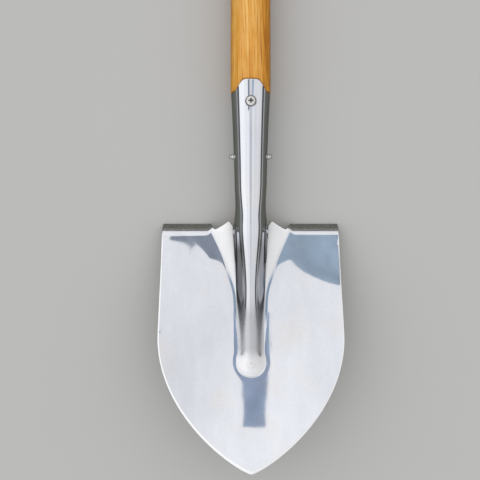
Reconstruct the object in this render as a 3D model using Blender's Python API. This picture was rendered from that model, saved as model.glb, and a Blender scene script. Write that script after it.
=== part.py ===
"""A garden shovel, lying on its back on the ground.

The head is one sheet of stainless steel: a round pointed blade, treads turned back, a raised frog with a
round nose, and the socket rolled from the same sheet. The wooden shaft is driven into the socket, held by a
pin across it and a screw through its tongue, and is split at the far end into a Y that carries a turned
grip.

The pieces are drawn with the shaft's axis along +Y, the front of the blade facing +Z and the line where the
treads bend at Y = 0. The whole shovel is then turned until its treads and its grip end both touch the
ground. Lengths are in metres and angles in radians.
"""

import math

import bmesh
import bpy
import numpy as np
from mathutils import Matrix, Vector

# Sheet and blade
SHEET = 0.0020
BLADE_WIDTH = 0.1808
BLADE_LENGTH = 0.2343
BLADE_SIDE = 0.1050
POINT_FULLNESS = 0.81
DISH_DEPTH = 0.0110
DISH_START = 0.1290
TIP_RISE = 0.0070
TIP_CURVE = 2.2
LIFT = math.radians(13.0)
AXIS_OVER_BLADE = 0.0145

# Treads, turned back at the blade's top
TREAD_ANGLE = math.radians(48.0)
TREAD_BEND = 0.0050
TREAD_FLAT = 0.0117
TREAD_START = 0.0450
NOTCH_X = 0.0360
NOTCH_RISE = 0.0025

# Frog: the ridge that runs from the socket down the blade, its wings and its nose
RIDGE_HALF_WIDTH = 0.0163
RIDGE_NARROWING = 0.031
RIDGE_FALL = 0.029
NOSE_RADIUS = 0.0146
NOSE_CENTRE = 0.1308
NOSE_HEIGHT = 0.0055
NOSE_BLEND = 0.0040
NOSE_SKIRT = NOSE_RADIUS / 3
RIDGE_SOFTNESS = 1.2
RIDGE_SOFT_LENGTH = 0.0950
WING_REACH = 0.0235
WING_LENGTH = 0.0640
WING_HEIGHT = 0.0080
WING_PEAK_RISE = 0.0100
WING_PEAK_X = 0.0227
WING_SOFTNESS = 1.2
PEAK_CURVE = 1.3
WAIST_RISE = 0.0075

# Socket, rolled from the same sheet
NECK_RADIUS = 0.0154
MOUTH_RADIUS = 0.0195
SOCKET_FLARE = 1.8
SOCKET_LENGTH = 0.1375
CLOSING_LENGTH = 0.0350
SNUG_MARGIN = 0.0180
SEAM_GAP = 0.0008
TONGUE_RISE = 0.0107
TONGUE_TOP_ANGLE = math.radians(18.0)
TONGUE_FOOT_ANGLE = math.radians(60.0)

# Wooden shaft and the Y at its far end
WOOD_FIT = 0.0004
SHAFT_RADIUS = 0.0200
THROAT_RADIUS = 0.0180
SHAFT_END_RADIUS = 0.0075
SHAFT_END_Y = -0.0180
CROTCH_Y = 0.6650
GRIP_Y = 0.7900
GRIP_SPAN = 0.0960
TINE_THICKNESS = 0.0150
TINE_SQUARENESS = 0.65
TINE_CROWN = 0.0015
TINE_EYE_RADIUS = 0.0155
EYE_CLOSE = math.radians(72.0)

# Grip and its rod
GRIP_RADIUS = 0.0145
GRIP_SWELL = 0.0005
ROD_RADIUS = 0.0030
ROD_HEAD_RADIUS = 0.0058
ROD_HEAD_HEIGHT = 0.0028
GRIP_WASHER_RADIUS = 0.0085
GRIP_WASHER_THICKNESS = 0.0014

# Rivet across the throat
THROAT_RIVET_BELOW_CROTCH = 0.0140
THROAT_RIVET_RADIUS = 0.0025
THROAT_HEAD_RADIUS = 0.0045
THROAT_HEAD_HEIGHT = 0.0024
THROAT_WASHER_RADIUS = 0.0065
THROAT_WASHER_THICKNESS = 0.0012

# Pin across the socket
SOCKET_RIVET_Y = 0.0748
SOCKET_RIVET_RADIUS = 0.0014
SOCKET_HEAD_RADIUS = 0.0022
SOCKET_HEAD_HEIGHT = 0.0022
SOCKET_WASHER_RADIUS = 0.0027
SOCKET_WASHER_THICKNESS = 0.0018

# Screw through the tongue
SCREW_BELOW_RIM = 0.0107
SCREW_RADIUS = 0.0021
SCREW_LENGTH = 0.0240
SCREW_POINT = 0.0050
SCREW_HEAD_RADIUS = 0.0050
SCREW_HEAD_HEIGHT = 0.0026
RECESS_WIDTH = 0.0011
RECESS_SPAN = 0.0048
RECESS_DEPTH = 0.0014

# Gaps that keep neighbouring pieces apart
SEAT_GAP = 0.0003
BORE_GAP = 0.0003
RIM_GAP = 0.0008

# How finely the surfaces are divided. The rows round the nose reach this many nose radii above and below
# its centre, and a spacing above 1 puts the first rows of a stretch closer together.
RIDGE_STEPS = 8
WING_STEPS = 4
FLANK_STEPS = 8
BEND_STEPS = 5
SOCKET_STEPS = 11
WING_ROWS = 7
RIDGE_ROWS = 4
NOSE_ROWS = 8
POINT_ROWS = 6
THROAT_STEPS = 10
EYE_STEPS = 4
FLAT_SIDE_STEPS = 4
LATHE_SIDES = 12
DOME_STEPS = 3
TAPER_STEPS = 4
SNUG_STEPS = 3
STRAIGHT_STEPS = 6
GRIP_STEPS = 8
ROWS_ABOVE_NOSE = 1.5
ROWS_BELOW_NOSE = 1.1
BEND_SPACING = 1.5
SOCKET_SPACING = 1.25
OUTLINE_SAMPLES = 400
LIE_DOWN_ROUNDS = 12
SMOOTH_ANGLE = math.radians(35.0)

# Points closer than this are one point
TINY = 0.000001

HALF_WIDTH = BLADE_WIDTH / 2
SNUG_FROM = WAIST_RISE + CLOSING_LENGTH + SNUG_MARGIN
THROAT_RIVET_Y = CROTCH_Y - THROAT_RIVET_BELOW_CROTCH
SCREW_Y = SOCKET_LENGTH - SCREW_BELOW_RIM


def clear_scene():
    """Removes whatever the scene holds."""
    for thing in list(bpy.data.objects):
        bpy.data.objects.remove(thing)


def ease(share):
    """Goes from 0 to 1 with a level start and a level end."""
    share = np.clip(share, 0, 1)
    return share * share * (3 - 2 * share)


def larger_of(first, second, blend):
    """The larger of two values, with the change from one to the other rounded over a blend length."""
    return (first + second + np.sqrt((first - second) ** 2 + blend**2)) / 2


def outline_y(x):
    """Where the blade's edge lies below the bend line at a distance x from the middle: straight sides, then
    a curve x = half width * (1 - q^2)^fullness down to the point, turned round to give y."""
    share = np.clip(np.abs(x) / HALF_WIDTH, 0, 1)
    q = np.sqrt(1 - share ** (1 / POINT_FULLNESS))
    return -(BLADE_SIDE + (BLADE_LENGTH - BLADE_SIDE) * q)


def dish_height(x, y):
    """The blade's hollow: the sides rise as x squared, and the point rises as well."""
    down = np.clip(-y, 0, None)
    sides = DISH_DEPTH * ease(down / DISH_START) * (x / HALF_WIDTH) ** 2
    return sides + TIP_RISE * (down / BLADE_LENGTH) ** TIP_CURVE


def socket_radius(y):
    """Outer radius of the socket, which flares to its mouth, and of the ridge line that runs on over the
    blade."""
    flare = (MOUTH_RADIUS - NECK_RADIUS) * (np.clip(y, 0, None) / SOCKET_LENGTH) ** SOCKET_FLARE
    return NECK_RADIUS + flare + RIDGE_FALL * np.clip(y, None, 0)


def ridge_half_width(y):
    """Half the ridge's width: a straight taper that runs into the round nose."""
    taper = RIDGE_HALF_WIDTH + RIDGE_NARROWING * y
    above_nose = np.clip(y + NOSE_CENTRE, 0, NOSE_RADIUS)
    nose = np.sqrt(NOSE_RADIUS**2 - above_nose**2)
    return np.where(y < -NOSE_CENTRE, NOSE_RADIUS, np.maximum(taper, nose))


def ridge_height(y):
    """Height of the ridge over the blade: the socket's top line carried on, then the height of the nose."""
    line = (socket_radius(y) + AXIS_OVER_BLADE + y * math.sin(LIFT)) / math.cos(LIFT)
    return larger_of(line, NOSE_HEIGHT, NOSE_BLEND)


def wing_share(y):
    """How much of the wing is left at y: all of it at the bend line, none where it has run into the
    ridge."""
    return np.clip(1 + np.minimum(y, 0) / WING_LENGTH, 0, 1) ** WING_SOFTNESS


def frog_height(x, y):
    """Height of ridge, wings and nose over the dished blade. Across the ridge it is (1 - t^2)^e, an ellipse
    at the neck where e is a half, and a soft bell near the nose. A wing falls from the ridge's foot to the
    blade."""
    half = ridge_half_width(y)
    below_nose = np.clip(-NOSE_CENTRE - y, 0, None)
    t = np.hypot(np.abs(x), below_nose) / half
    exponent = 0.5 + RIDGE_SOFTNESS * ease(-y / RIDGE_SOFT_LENGTH)
    foot = WING_HEIGHT * wing_share(y)
    ridge = foot + (ridge_height(y) - foot) * np.clip(1 - t * t, 0, 1) ** exponent
    reach = np.maximum(WING_REACH * wing_share(y), TINY)
    wing = foot * np.clip(1 - (np.abs(x) - half) / reach, 0, 1) ** WING_SOFTNESS
    return np.where(t <= 1, ridge, wing)


def top_length(x):
    """Length of sheet above the bend line: up to the waist beside the ridge, the wing's peak, the notch and
    then the whole tread."""
    rise_to_peak = np.clip((x - RIDGE_HALF_WIDTH) / (WING_PEAK_X - RIDGE_HALF_WIDTH), 0, 1)
    near = WAIST_RISE + (WING_PEAK_RISE - WAIST_RISE) * rise_to_peak
    fall = np.clip(1 - (x - WING_PEAK_X) / (NOTCH_X - WING_PEAK_X), 0, 1) ** PEAK_CURVE
    wing = NOTCH_RISE + (near - NOTCH_RISE) * np.where(x < WING_PEAK_X, 1, fall)
    whole = TREAD_BEND * TREAD_ANGLE + TREAD_FLAT
    return wing + (whole - NOTCH_RISE) * tread_share(x)


def tread_share(x):
    """0 beside the wing and 1 where the tread is whole."""
    return ease((x - NOTCH_X) / (TREAD_START - NOTCH_X))


def blade_to_shovel(x, y, height):
    """Turns a place on the blade (across, along, over it) into shovel coordinates, by the lift of the
    blade."""
    along = y * math.cos(LIFT) + height * math.sin(LIFT)
    up = -AXIS_OVER_BLADE - y * math.sin(LIFT) + height * math.cos(LIFT)
    return np.stack([x, along, up], axis=-1)


def evenly_on_outline(start, steps):
    """Distances from the middle of points that lie evenly along the blade's edge, from start to the
    side."""
    x = HALF_WIDTH * np.sin(np.linspace(0, math.pi / 2, OUTLINE_SAMPLES))
    y = outline_y(x)
    run = np.concatenate([[0], np.cumsum(np.hypot(np.diff(x), np.diff(y)))])
    first = np.interp(start, x, run)
    return np.interp(np.linspace(first, run[-1], steps + 1), run, x)


def blade_columns(y, down):
    """Distance from the middle of every column of the sheet at the places y, from the ridge's top to the
    blade's side. down is 0 at the bend line and 1 at the edge, where the columns end evenly along the
    outline."""
    half = ridge_half_width(y)
    flare = np.maximum(WING_REACH * wing_share(y), NOSE_SKIRT)
    ridge = np.sin(np.linspace(0, math.pi / 2, RIDGE_STEPS + 1))[None, :] * half[:, None]
    wing = half[:, None] + np.linspace(0, 1, WING_STEPS + 1)[None, 1:] * flare[:, None]
    start = half + flare
    flank = start[:, None] + np.linspace(0, 1, FLANK_STEPS + 1)[None, 1:] * (HALF_WIDTH - start)[:, None]
    even = evenly_on_outline(NOSE_RADIUS + NOSE_SKIRT, FLANK_STEPS)[None, 1:]
    share = down[:, None] ** 2
    return np.hstack([ridge, wing, flank * (1 - share) + even * share])


def blade_rows():
    """Shares of the way from the bend line to the edge, closer together round the nose."""
    nose_start = NOSE_CENTRE - NOSE_RADIUS * ROWS_ABOVE_NOSE
    nose_end = NOSE_CENTRE + NOSE_RADIUS * ROWS_BELOW_NOSE
    stops = [0, WING_LENGTH, nose_start, nose_end, BLADE_LENGTH]
    counts = [WING_ROWS, RIDGE_ROWS, NOSE_ROWS, POINT_ROWS]
    parts = [np.linspace(a, b, n, endpoint=False) for a, b, n in zip(stops, stops[1:], counts)]
    return np.append(np.concatenate(parts), BLADE_LENGTH) / BLADE_LENGTH


def blade_half():
    """The right half of the blade with its wing and tread, as a grid: rows from the edge up to the top
    edge."""
    down = blade_rows()[::-1]
    middle_y = -BLADE_LENGTH * down
    x = blade_columns(middle_y, down)
    last = blade_columns(middle_y[:1], down[:1])[0]
    y = outline_y(last)[None, :] * down[:, None]
    lower = blade_to_shovel(x, y, dish_height(x, y) + frog_height(x, y))
    across = np.broadcast_to(x[-1], (BEND_STEPS, x.shape[1]))
    rise = ((np.arange(BEND_STEPS) + 1) / BEND_STEPS)[:, None] ** BEND_SPACING * top_length(across)
    turn = TREAD_ANGLE * tread_share(across)
    bent = np.minimum(rise, TREAD_BEND * turn)
    flat = rise - bent
    angle = bent / TREAD_BEND
    up = TREAD_BEND * np.sin(angle) + flat * np.cos(turn)
    back = TREAD_BEND * (1 - np.cos(angle)) + flat * np.sin(turn)
    upper = blade_to_shovel(across, up, frog_height(across, up * (1 - tread_share(across))) - back)
    return np.vstack([lower, upper])


def rim_y(angle):
    """How far up the socket reaches at an angle from the front: level, with a rounded tongue in front."""
    side = (TONGUE_FOOT_ANGLE - np.abs(angle)) / (TONGUE_FOOT_ANGLE - TONGUE_TOP_ANGLE)
    return SOCKET_LENGTH + TONGUE_RISE * ease(side)


def socket_half(waist):
    """The right half of the socket as a grid, from the sheet's waist up to the rim. The open channel of the
    ridge closes into a round tube, with a narrow seam at the back."""
    share = np.linspace(0, 1, RIDGE_STEPS + 1)[None, :]
    rise = (np.arange(SOCKET_STEPS + 1)[:, None] / SOCKET_STEPS) ** SOCKET_SPACING
    start_y = waist[None, :, 1]
    start_angle = np.arctan2(waist[None, :, 0], waist[None, :, 2])
    start_radius = np.hypot(waist[None, :, 0], waist[None, :, 2])
    whole_angle = math.pi - SEAM_GAP / 2 / NECK_RADIUS
    y = start_y + (rim_y(share * whole_angle) - start_y) * rise
    closed = ease((y - start_y) / CLOSING_LENGTH)
    round_angle = share * (math.pi - SEAM_GAP / 2 / socket_radius(y))
    angle = start_angle * (1 - closed) + round_angle * closed
    radius = start_radius * (1 - closed) + socket_radius(y) * closed
    return np.stack([radius * np.sin(angle), y, radius * np.cos(angle)], axis=-1)[1:]


def grid_faces(rows, columns, first=0):
    """Four-sided faces of a grid of points numbered row by row."""
    index = first + np.arange(rows * columns).reshape(rows, columns)
    corners = (index[:-1, :-1], index[:-1, 1:], index[1:, 1:], index[1:, :-1])
    return np.stack(corners, axis=-1).reshape(-1, 4).tolist()


def both_sides(half):
    """A grid that starts at the middle, with its mirror image put before it."""
    mirrored = half[:, :0:-1] * np.array([-1, 1, 1])
    return np.concatenate([mirrored, half], axis=1)


def mesh_object(name, points, faces, weld=0.0, recalculate=False):
    """A new object from points and faces. Points closer than weld become one."""
    mesh = bpy.data.meshes.new(name)
    mesh.from_pydata([tuple(p) for p in points], [], faces)
    shape = bmesh.new()
    shape.from_mesh(mesh)
    if weld:
        bmesh.ops.remove_doubles(shape, verts=shape.verts, dist=weld)
    if recalculate:
        bmesh.ops.recalc_face_normals(shape, faces=shape.faces)
    shape.to_mesh(mesh)
    shape.free()
    thing = bpy.data.objects.new(name, mesh)
    bpy.context.scene.collection.objects.link(thing)
    return thing


def smooth(thing):
    """Shades an object smooth, with its sharp edges kept."""
    thing.data.shade_smooth()
    thing.data.set_sharp_from_angle(angle=SMOOTH_ANGLE)


def give_material(thing, name, colour, roughness, metallic):
    """Puts a plain material on an object."""
    material = bpy.data.materials.get(name) or bpy.data.materials.new(name)
    material.use_nodes = True
    shader = material.node_tree.nodes["Principled BSDF"]
    shader.inputs["Base Color"].default_value = (*colour, 1)
    shader.inputs["Roughness"].default_value = roughness
    shader.inputs["Metallic"].default_value = metallic
    material.diffuse_color = (*colour, 1)
    thing.data.materials.append(material)


def stainless(thing):
    """Satin stainless sheet."""
    give_material(thing, "stainless_sheet", (0.78, 0.78, 0.79), 0.28, 1.0)


def bright_steel(thing):
    """Plated steel of the screw, pins and washers."""
    give_material(thing, "bright_steel", (0.70, 0.70, 0.71), 0.32, 1.0)


def lacquered_wood(thing):
    """Amber lacquered ash."""
    give_material(thing, "lacquered_ash", (0.62, 0.33, 0.10), 0.38, 0.0)


def turned(name, profile, sides=LATHE_SIDES):
    """A solid turned about its own Z axis. The profile runs from its lower end to its upper end as radius
    and height; a radius of nothing closes it on the axis."""
    spin = (np.arange(sides) + 0.5) / sides * math.tau
    points = []
    rings = []
    for radius, height in profile:
        rings.append(len(points))
        count = 1 if radius == 0 else sides
        turn = spin[:count]
        points.extend(zip(radius * np.cos(turn), radius * np.sin(turn), [height] * count))
    faces = []
    for k, (low, high) in enumerate(zip(rings, rings[1:])):
        for i in range(sides):
            j = (i + 1) % sides
            if profile[k][0] == 0:
                faces.append((low, high + j, high + i))
            elif profile[k + 1][0] == 0:
                faces.append((low + i, low + j, high))
            else:
                faces.append((low + i, low + j, high + j, high + i))
    return mesh_object(name, points, faces, recalculate=True)


def ring_solid(name, outer, inner, thickness):
    """A flat washer about its own Z axis, from Z = 0 up."""
    spin = (np.arange(LATHE_SIDES) + 0.5) / LATHE_SIDES * math.tau
    corners = [(inner, 0), (outer, 0), (outer, thickness), (inner, thickness)]
    points = [(r * math.cos(a), r * math.sin(a), z) for r, z in corners for a in spin]
    faces = []
    for k in range(4):
        for i in range(LATHE_SIDES):
            j = (i + 1) % LATHE_SIDES
            low = k * LATHE_SIDES
            high = (k + 1) % 4 * LATHE_SIDES
            faces.append((low + i, low + j, high + j, high + i))
    return mesh_object(name, points, faces, recalculate=True)


def dome(radius, height, base):
    """Profile points of a rounded head, from its rim up to the axis."""
    lean = np.linspace(0, math.pi / 2, DOME_STEPS + 1)
    points = [(radius * math.cos(a), base + height * math.sin(a)) for a in lean[:-1]]
    return [*points, (0, base + height)]


def headed_pin(name, shank_radius, head_radius, head_height, between_heads):
    """A rivet about its own Z axis, centred on it, with a rounded head at each end."""
    half = between_heads / 2
    top = [(shank_radius, half), *dome(head_radius, head_height, half)]
    bottom = [(r, -z) for r, z in reversed(top)]
    return turned(name, bottom + top)


def point_along_x(thing, x, y):
    """Lays a piece drawn about Z along +X, or along -X where x is on that side."""
    turn = math.pi / 2 if x >= 0 else -math.pi / 2
    thing.rotation_euler = (0, turn, 0)
    thing.location = (x, y, 0)


def cut(thing, cutter):
    """Cuts a hidden shape out of an object."""
    cutter.hide_render = True
    cutter.display_type = "WIRE"
    modifier = thing.modifiers.new(cutter.name, "BOOLEAN")
    modifier.operation = "DIFFERENCE"
    modifier.solver = "EXACT"
    modifier.object = cutter


def cross_bore(thing, name, radius, reach, y):
    """Drills a hole of this radius through an object along X at y."""
    cutter = turned(name, [(0, -reach), (radius, -reach), (radius, reach), (0, reach)])
    point_along_x(cutter, 0, y)
    cut(thing, cutter)


def screw_tilt():
    """The angle by which the flaring socket leans under the screw, from the slope of its radius there."""
    steepest = (MOUTH_RADIUS - NECK_RADIUS) * SOCKET_FLARE / SOCKET_LENGTH
    return math.atan(steepest * (SCREW_Y / SOCKET_LENGTH) ** (SOCKET_FLARE - 1))


def place_screw(thing):
    """Stands a piece drawn about Z on the socket's front at the screw's place, square to the sheet."""
    thing.rotation_euler = (screw_tilt(), 0, 0)
    thing.location = (0, SCREW_Y, float(socket_radius(SCREW_Y)))


def make_head():
    """Blade, frog, treads and socket as one sheet, with holes for the pin and the screw."""
    blade = both_sides(blade_half())
    first_row = blade.shape[1] // 2
    waist = blade[-1, first_row : first_row + RIDGE_STEPS + 1]
    socket = np.concatenate([waist[None], socket_half(waist)])
    socket = both_sides(socket)
    points = np.concatenate([blade.reshape(-1, 3), socket.reshape(-1, 3)])
    faces = grid_faces(*blade.shape[:2])
    faces += grid_faces(*socket.shape[:2], first=blade.shape[0] * blade.shape[1])
    head = mesh_object("head", points, faces, weld=TINY)
    solid = head.modifiers.new("sheet", "SOLIDIFY")
    solid.thickness = SHEET
    solid.offset = -1
    solid.use_even_offset = True
    reach = MOUTH_RADIUS + SHEET
    cross_bore(head, "socket_rivet_hole", SOCKET_RIVET_RADIUS + BORE_GAP, reach, SOCKET_RIVET_Y)
    hole = turned("screw_hole", bore_profile(SCREW_RADIUS + BORE_GAP, 3 * SHEET, SHEET))
    place_screw(hole)
    cut(head, hole)
    smooth(head)
    stainless(head)
    return head


def bore_profile(radius, depth, above):
    """A plain drill from depth below Z = 0 to a little above it."""
    return [(0, -depth), (radius, -depth), (radius, above), (0, above)]


def wood_radius(y):
    """Radius of the wood that lies inside the socket. It follows the socket's own taper, less the sheet and
    the fit, from a little above the stretch where the channel closes into a tube. Below that it is a blunt
    taper to the end in the frog's hollow."""
    snug = socket_radius(np.maximum(y, SNUG_FROM)) - SHEET - WOOD_FIT
    share = np.clip((y - SHAFT_END_Y) / (SNUG_FROM - SHAFT_END_Y), 0, 1)
    return SHAFT_END_RADIUS + (snug - SHAFT_END_RADIUS) * share


def shaft_radius(y):
    """Radius of the shaft above the socket, which slims down towards the throat of the Y."""
    share = (y - SOCKET_LENGTH) / (CROTCH_Y - SOCKET_LENGTH)
    return SHAFT_RADIUS + (THROAT_RADIUS - SHAFT_RADIUS) * ease(share)


def tine_section(y, height, angles, side):
    """Half a shaft's section at y, spread sideways into a tine: the rounded outer side, then the inner side
    from back to front. height is half the tine's depth from front to back. The inner side is crowned from
    the first quarter of the spread to its last third."""
    share = ease((y - CROTCH_Y) / (GRIP_Y - TINE_EYE_RADIUS - CROTCH_Y))
    inner = GRIP_SPAN / 2 * share
    outer = THROAT_RADIUS + (GRIP_SPAN / 2 + TINE_THICKNESS - THROAT_RADIUS) * share
    roundness = 1 - TINE_SQUARENESS * share
    outer_x = inner + (outer - inner) * np.sin(angles) ** roundness
    arc = np.stack([outer_x, np.full_like(angles, y), height * np.cos(angles)], axis=-1)
    inner_z = -height * side
    crown = TINE_CROWN * ease(4 * share) * ease(3 * (1 - share)) * (1 - side**2)
    flat = np.stack([inner - crown, np.full_like(side, y), inner_z], axis=-1)
    return arc, flat


def make_shaft():
    """The wooden shaft with its tapered end, its shoulder at the socket's rim and the Y at its far end. One
    half is drawn and mirrored, and the two halves are welded along the middle."""
    angles = np.linspace(0, math.pi, RIDGE_STEPS + 1)
    side = np.linspace(1, -1, FLAT_SIDE_STEPS + 1)
    rim = rim_y(angles)
    rows = []
    tapered = np.linspace(SHAFT_END_Y, SNUG_FROM, TAPER_STEPS + 1)
    snug = np.linspace(SNUG_FROM, SOCKET_LENGTH, SNUG_STEPS + 1)[1:-1]
    for y in (*tapered, *snug):
        rows.append((np.full_like(angles, y), wood_radius(y)))
    rows.append((rim + RIM_GAP, wood_radius(rim)))
    rows.append((rim + RIM_GAP, np.full_like(angles, SHAFT_RADIUS)))
    straight = SOCKET_LENGTH + 2 * TONGUE_RISE
    for y in np.linspace(straight, CROTCH_Y, STRAIGHT_STEPS + 1)[:-1]:
        rows.append((np.full_like(angles, y), shaft_radius(y)))
    outer = [np.stack([r * np.sin(angles), y, r * np.cos(angles)], axis=-1) for y, r in rows]
    inner = []
    for y in np.linspace(CROTCH_Y, GRIP_Y, THROAT_STEPS + 1):
        way = ease((y - CROTCH_Y) / (GRIP_Y - CROTCH_Y))
        height = THROAT_RADIUS + (TINE_EYE_RADIUS - THROAT_RADIUS) * way
        arc, flat = tine_section(y, height, angles, side)
        outer.append(arc)
        inner.append(flat)
    for lean in np.linspace(0, EYE_CLOSE, EYE_STEPS + 1)[1:]:
        y = GRIP_Y + TINE_EYE_RADIUS * math.sin(lean)
        arc, flat = tine_section(y, TINE_EYE_RADIUS * math.cos(lean), angles, side)
        outer.append(arc)
        inner.append(flat)
    outer = np.array(outer)
    inner = np.array(inner)
    columns = len(angles)
    points = [*outer.reshape(-1, 3), *inner.reshape(-1, 3)]
    faces = grid_faces(*outer.shape[:2])
    faces += grid_faces(*inner.shape[:2], first=outer.shape[0] * columns)
    lower_middle = len(points)
    points.append(np.array([0, SHAFT_END_Y, 0]))
    faces += [(lower_middle, k + 1, k) for k in range(columns - 1)]
    ring = np.concatenate([outer[-1], inner[-1, 1:-1]])
    top_middle = len(points)
    points.append(ring.mean(axis=0))
    top_ring = len(points)
    points.extend(ring)
    faces += [(top_middle, top_ring + k, top_ring + (k + 1) % len(ring)) for k in range(len(ring))]
    count = len(points)
    points += [p * np.array([-1, 1, 1]) for p in points]
    faces += [tuple(count + k for k in reversed(face)) for face in faces]
    shaft = mesh_object("shaft", points, faces, weld=TINY, recalculate=True)
    rod_reach = GRIP_SPAN / 2 + 2 * TINE_THICKNESS
    cross_bore(shaft, "rod_bore", ROD_RADIUS + BORE_GAP, rod_reach, GRIP_Y)
    cross_bore(shaft, "throat_bore", THROAT_RIVET_RADIUS + BORE_GAP, 2 * SHAFT_RADIUS, THROAT_RIVET_Y)
    cross_bore(shaft, "socket_bore", SOCKET_RIVET_RADIUS + BORE_GAP, 2 * SHAFT_RADIUS, SOCKET_RIVET_Y)
    pilot = turned("pilot_hole", bore_profile(SCREW_RADIUS + BORE_GAP, SCREW_LENGTH + SEAT_GAP, SHEET))
    place_screw(pilot)
    cut(shaft, pilot)
    smooth(shaft)
    lacquered_wood(shaft)
    return shaft


def make_grip():
    """The turned crossbar, bored for the rod, with a slight swell in the middle."""
    half = GRIP_SPAN / 2 - SEAT_GAP
    along = np.linspace(-half, half, GRIP_STEPS + 1)
    radius = GRIP_RADIUS + GRIP_SWELL * np.cos(along / half * math.pi / 2)
    profile = [(0, -half), *zip(radius, along), (0, half)]
    grip = turned("grip", profile)
    point_along_x(grip, 0, GRIP_Y)
    cross_bore(grip, "grip_bore", ROD_RADIUS + BORE_GAP, GRIP_SPAN, GRIP_Y)
    smooth(grip)
    lacquered_wood(grip)
    return grip


def riveted_pair(stem, washer_stem, surface, y, shank, head, washer):
    """A pin along X through the surfaces at plus and minus that distance, with a washer under each of its
    heads. shank is its radius, and head and washer are each a radius with a height or thickness."""
    between = 2 * (surface + washer[1] + 2 * SEAT_GAP)
    pin = headed_pin(stem, shank, head[0], head[1], between)
    point_along_x(pin, 0, y)
    pieces = [pin]
    for word, sign in (("left", -1), ("right", 1)):
        ring = ring_solid(f"{washer_stem}_{word}", washer[0], shank + BORE_GAP, washer[1])
        point_along_x(ring, sign * (surface + SEAT_GAP), y)
        pieces.append(ring)
    for piece in pieces:
        smooth(piece)
        bright_steel(piece)
    return pieces


def make_fastenings():
    """The rod through the grip, the rivet across the throat and the pin across the socket, with their
    washers."""
    tine_face = GRIP_SPAN / 2 + TINE_THICKNESS
    rod_head = (ROD_HEAD_RADIUS, ROD_HEAD_HEIGHT)
    rod_washer = (GRIP_WASHER_RADIUS, GRIP_WASHER_THICKNESS)
    pieces = riveted_pair("grip_rod", "grip_washer", tine_face, GRIP_Y, ROD_RADIUS, rod_head, rod_washer)
    throat_head = (THROAT_HEAD_RADIUS, THROAT_HEAD_HEIGHT)
    throat_washer = (THROAT_WASHER_RADIUS, THROAT_WASHER_THICKNESS)
    throat_face = float(shaft_radius(THROAT_RIVET_Y))
    pieces += riveted_pair(
        "throat_rivet",
        "throat_washer",
        throat_face,
        THROAT_RIVET_Y,
        THROAT_RIVET_RADIUS,
        throat_head,
        throat_washer,
    )
    socket_face = float(socket_radius(SOCKET_RIVET_Y + SOCKET_WASHER_RADIUS))
    pin_head = (SOCKET_HEAD_RADIUS, SOCKET_HEAD_HEIGHT)
    pin_washer = (SOCKET_WASHER_RADIUS, SOCKET_WASHER_THICKNESS)
    pieces += riveted_pair(
        "socket_rivet",
        "socket_washer",
        socket_face,
        SOCKET_RIVET_Y,
        SOCKET_RIVET_RADIUS,
        pin_head,
        pin_washer,
    )
    return pieces


def make_screw():
    """The domed wood screw through the tongue, with a cross recess in its head."""
    head = dome(SCREW_HEAD_RADIUS, SCREW_HEAD_HEIGHT, SEAT_GAP)
    shank = [(0, -SCREW_LENGTH), (SCREW_RADIUS, SCREW_POINT - SCREW_LENGTH), (SCREW_RADIUS, SEAT_GAP)]
    screw = turned("tongue_screw", shank + head)
    place_screw(screw)
    for turn in (0, math.pi / 2):
        slot = mesh_object(f"recess_{round(math.degrees(turn))}", *slot_shape(), recalculate=True)
        place_screw(slot)
        slot.rotation_euler.rotate_axis("Z", turn)
        cut(screw, slot)
    smooth(screw)
    bright_steel(screw)
    return screw


def slot_shape():
    """Corners and faces of one bar of the cross recess, sunk from the top of the screw's head."""
    top = SCREW_HEAD_HEIGHT + 2 * SEAT_GAP
    floor = SCREW_HEAD_HEIGHT + SEAT_GAP - RECESS_DEPTH
    signs = (-1, 1)
    corners = [
        (a * RECESS_SPAN / 2, b * RECESS_WIDTH / 2, z) for z in (floor, top) for b in signs for a in signs
    ]
    faces = [(0, 1, 3, 2), (4, 6, 7, 5), (0, 4, 5, 1), (1, 5, 7, 3), (3, 7, 6, 2), (2, 6, 4, 0)]
    return corners, faces


def evaluated_points(thing):
    """An object's finished vertices, in world coordinates."""
    shape = thing.evaluated_get(bpy.context.evaluated_depsgraph_get())
    mesh = shape.to_mesh()
    points = np.zeros(len(mesh.vertices) * 3)
    mesh.vertices.foreach_get("co", points)
    shape.to_mesh_clear()
    matrix = np.array(thing.matrix_world)
    return points.reshape(-1, 3) @ matrix[:3, :3].T + matrix[:3, 3]


def lie_down(pieces):
    """Turns the whole shovel about X until its head and its far end touch the ground together, and puts the
    middle of its box over the origin."""
    bpy.context.view_layer.update()
    points = np.vstack([evaluated_points(piece) for piece in pieces])
    near = points[points[:, 1] < CROTCH_Y / 2]
    far = points[points[:, 1] > CROTCH_Y / 2]
    tilt = 0.0
    for _ in range(LIE_DOWN_ROUNDS):
        up = np.array([-math.sin(tilt), math.cos(tilt)])
        low_near = near[np.argmin(near[:, 1:] @ up)]
        low_far = far[np.argmin(far[:, 1:] @ up)]
        run = low_far - low_near
        tilt = math.atan2(run[2], run[1])
    turn = Matrix.Rotation(-tilt, 4, "X")
    turned_points = points @ np.array(turn)[:3, :3].T
    low = turned_points.min(axis=0)
    high = turned_points.max(axis=0)
    middle = (low + high) / 2
    ground = bpy.data.objects.new("shovel", None)
    bpy.context.scene.collection.objects.link(ground)
    for thing in bpy.context.scene.objects:
        if thing is not ground:
            thing.parent = ground
    ground.matrix_world = Matrix.Translation(Vector((-middle[0], -middle[1], -low[2]))) @ turn
    return ground


def main():
    clear_scene()
    pieces = [make_head(), make_shaft(), make_grip(), make_screw(), *make_fastenings()]
    lie_down(pieces)
    bpy.context.view_layer.update()


main()
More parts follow.
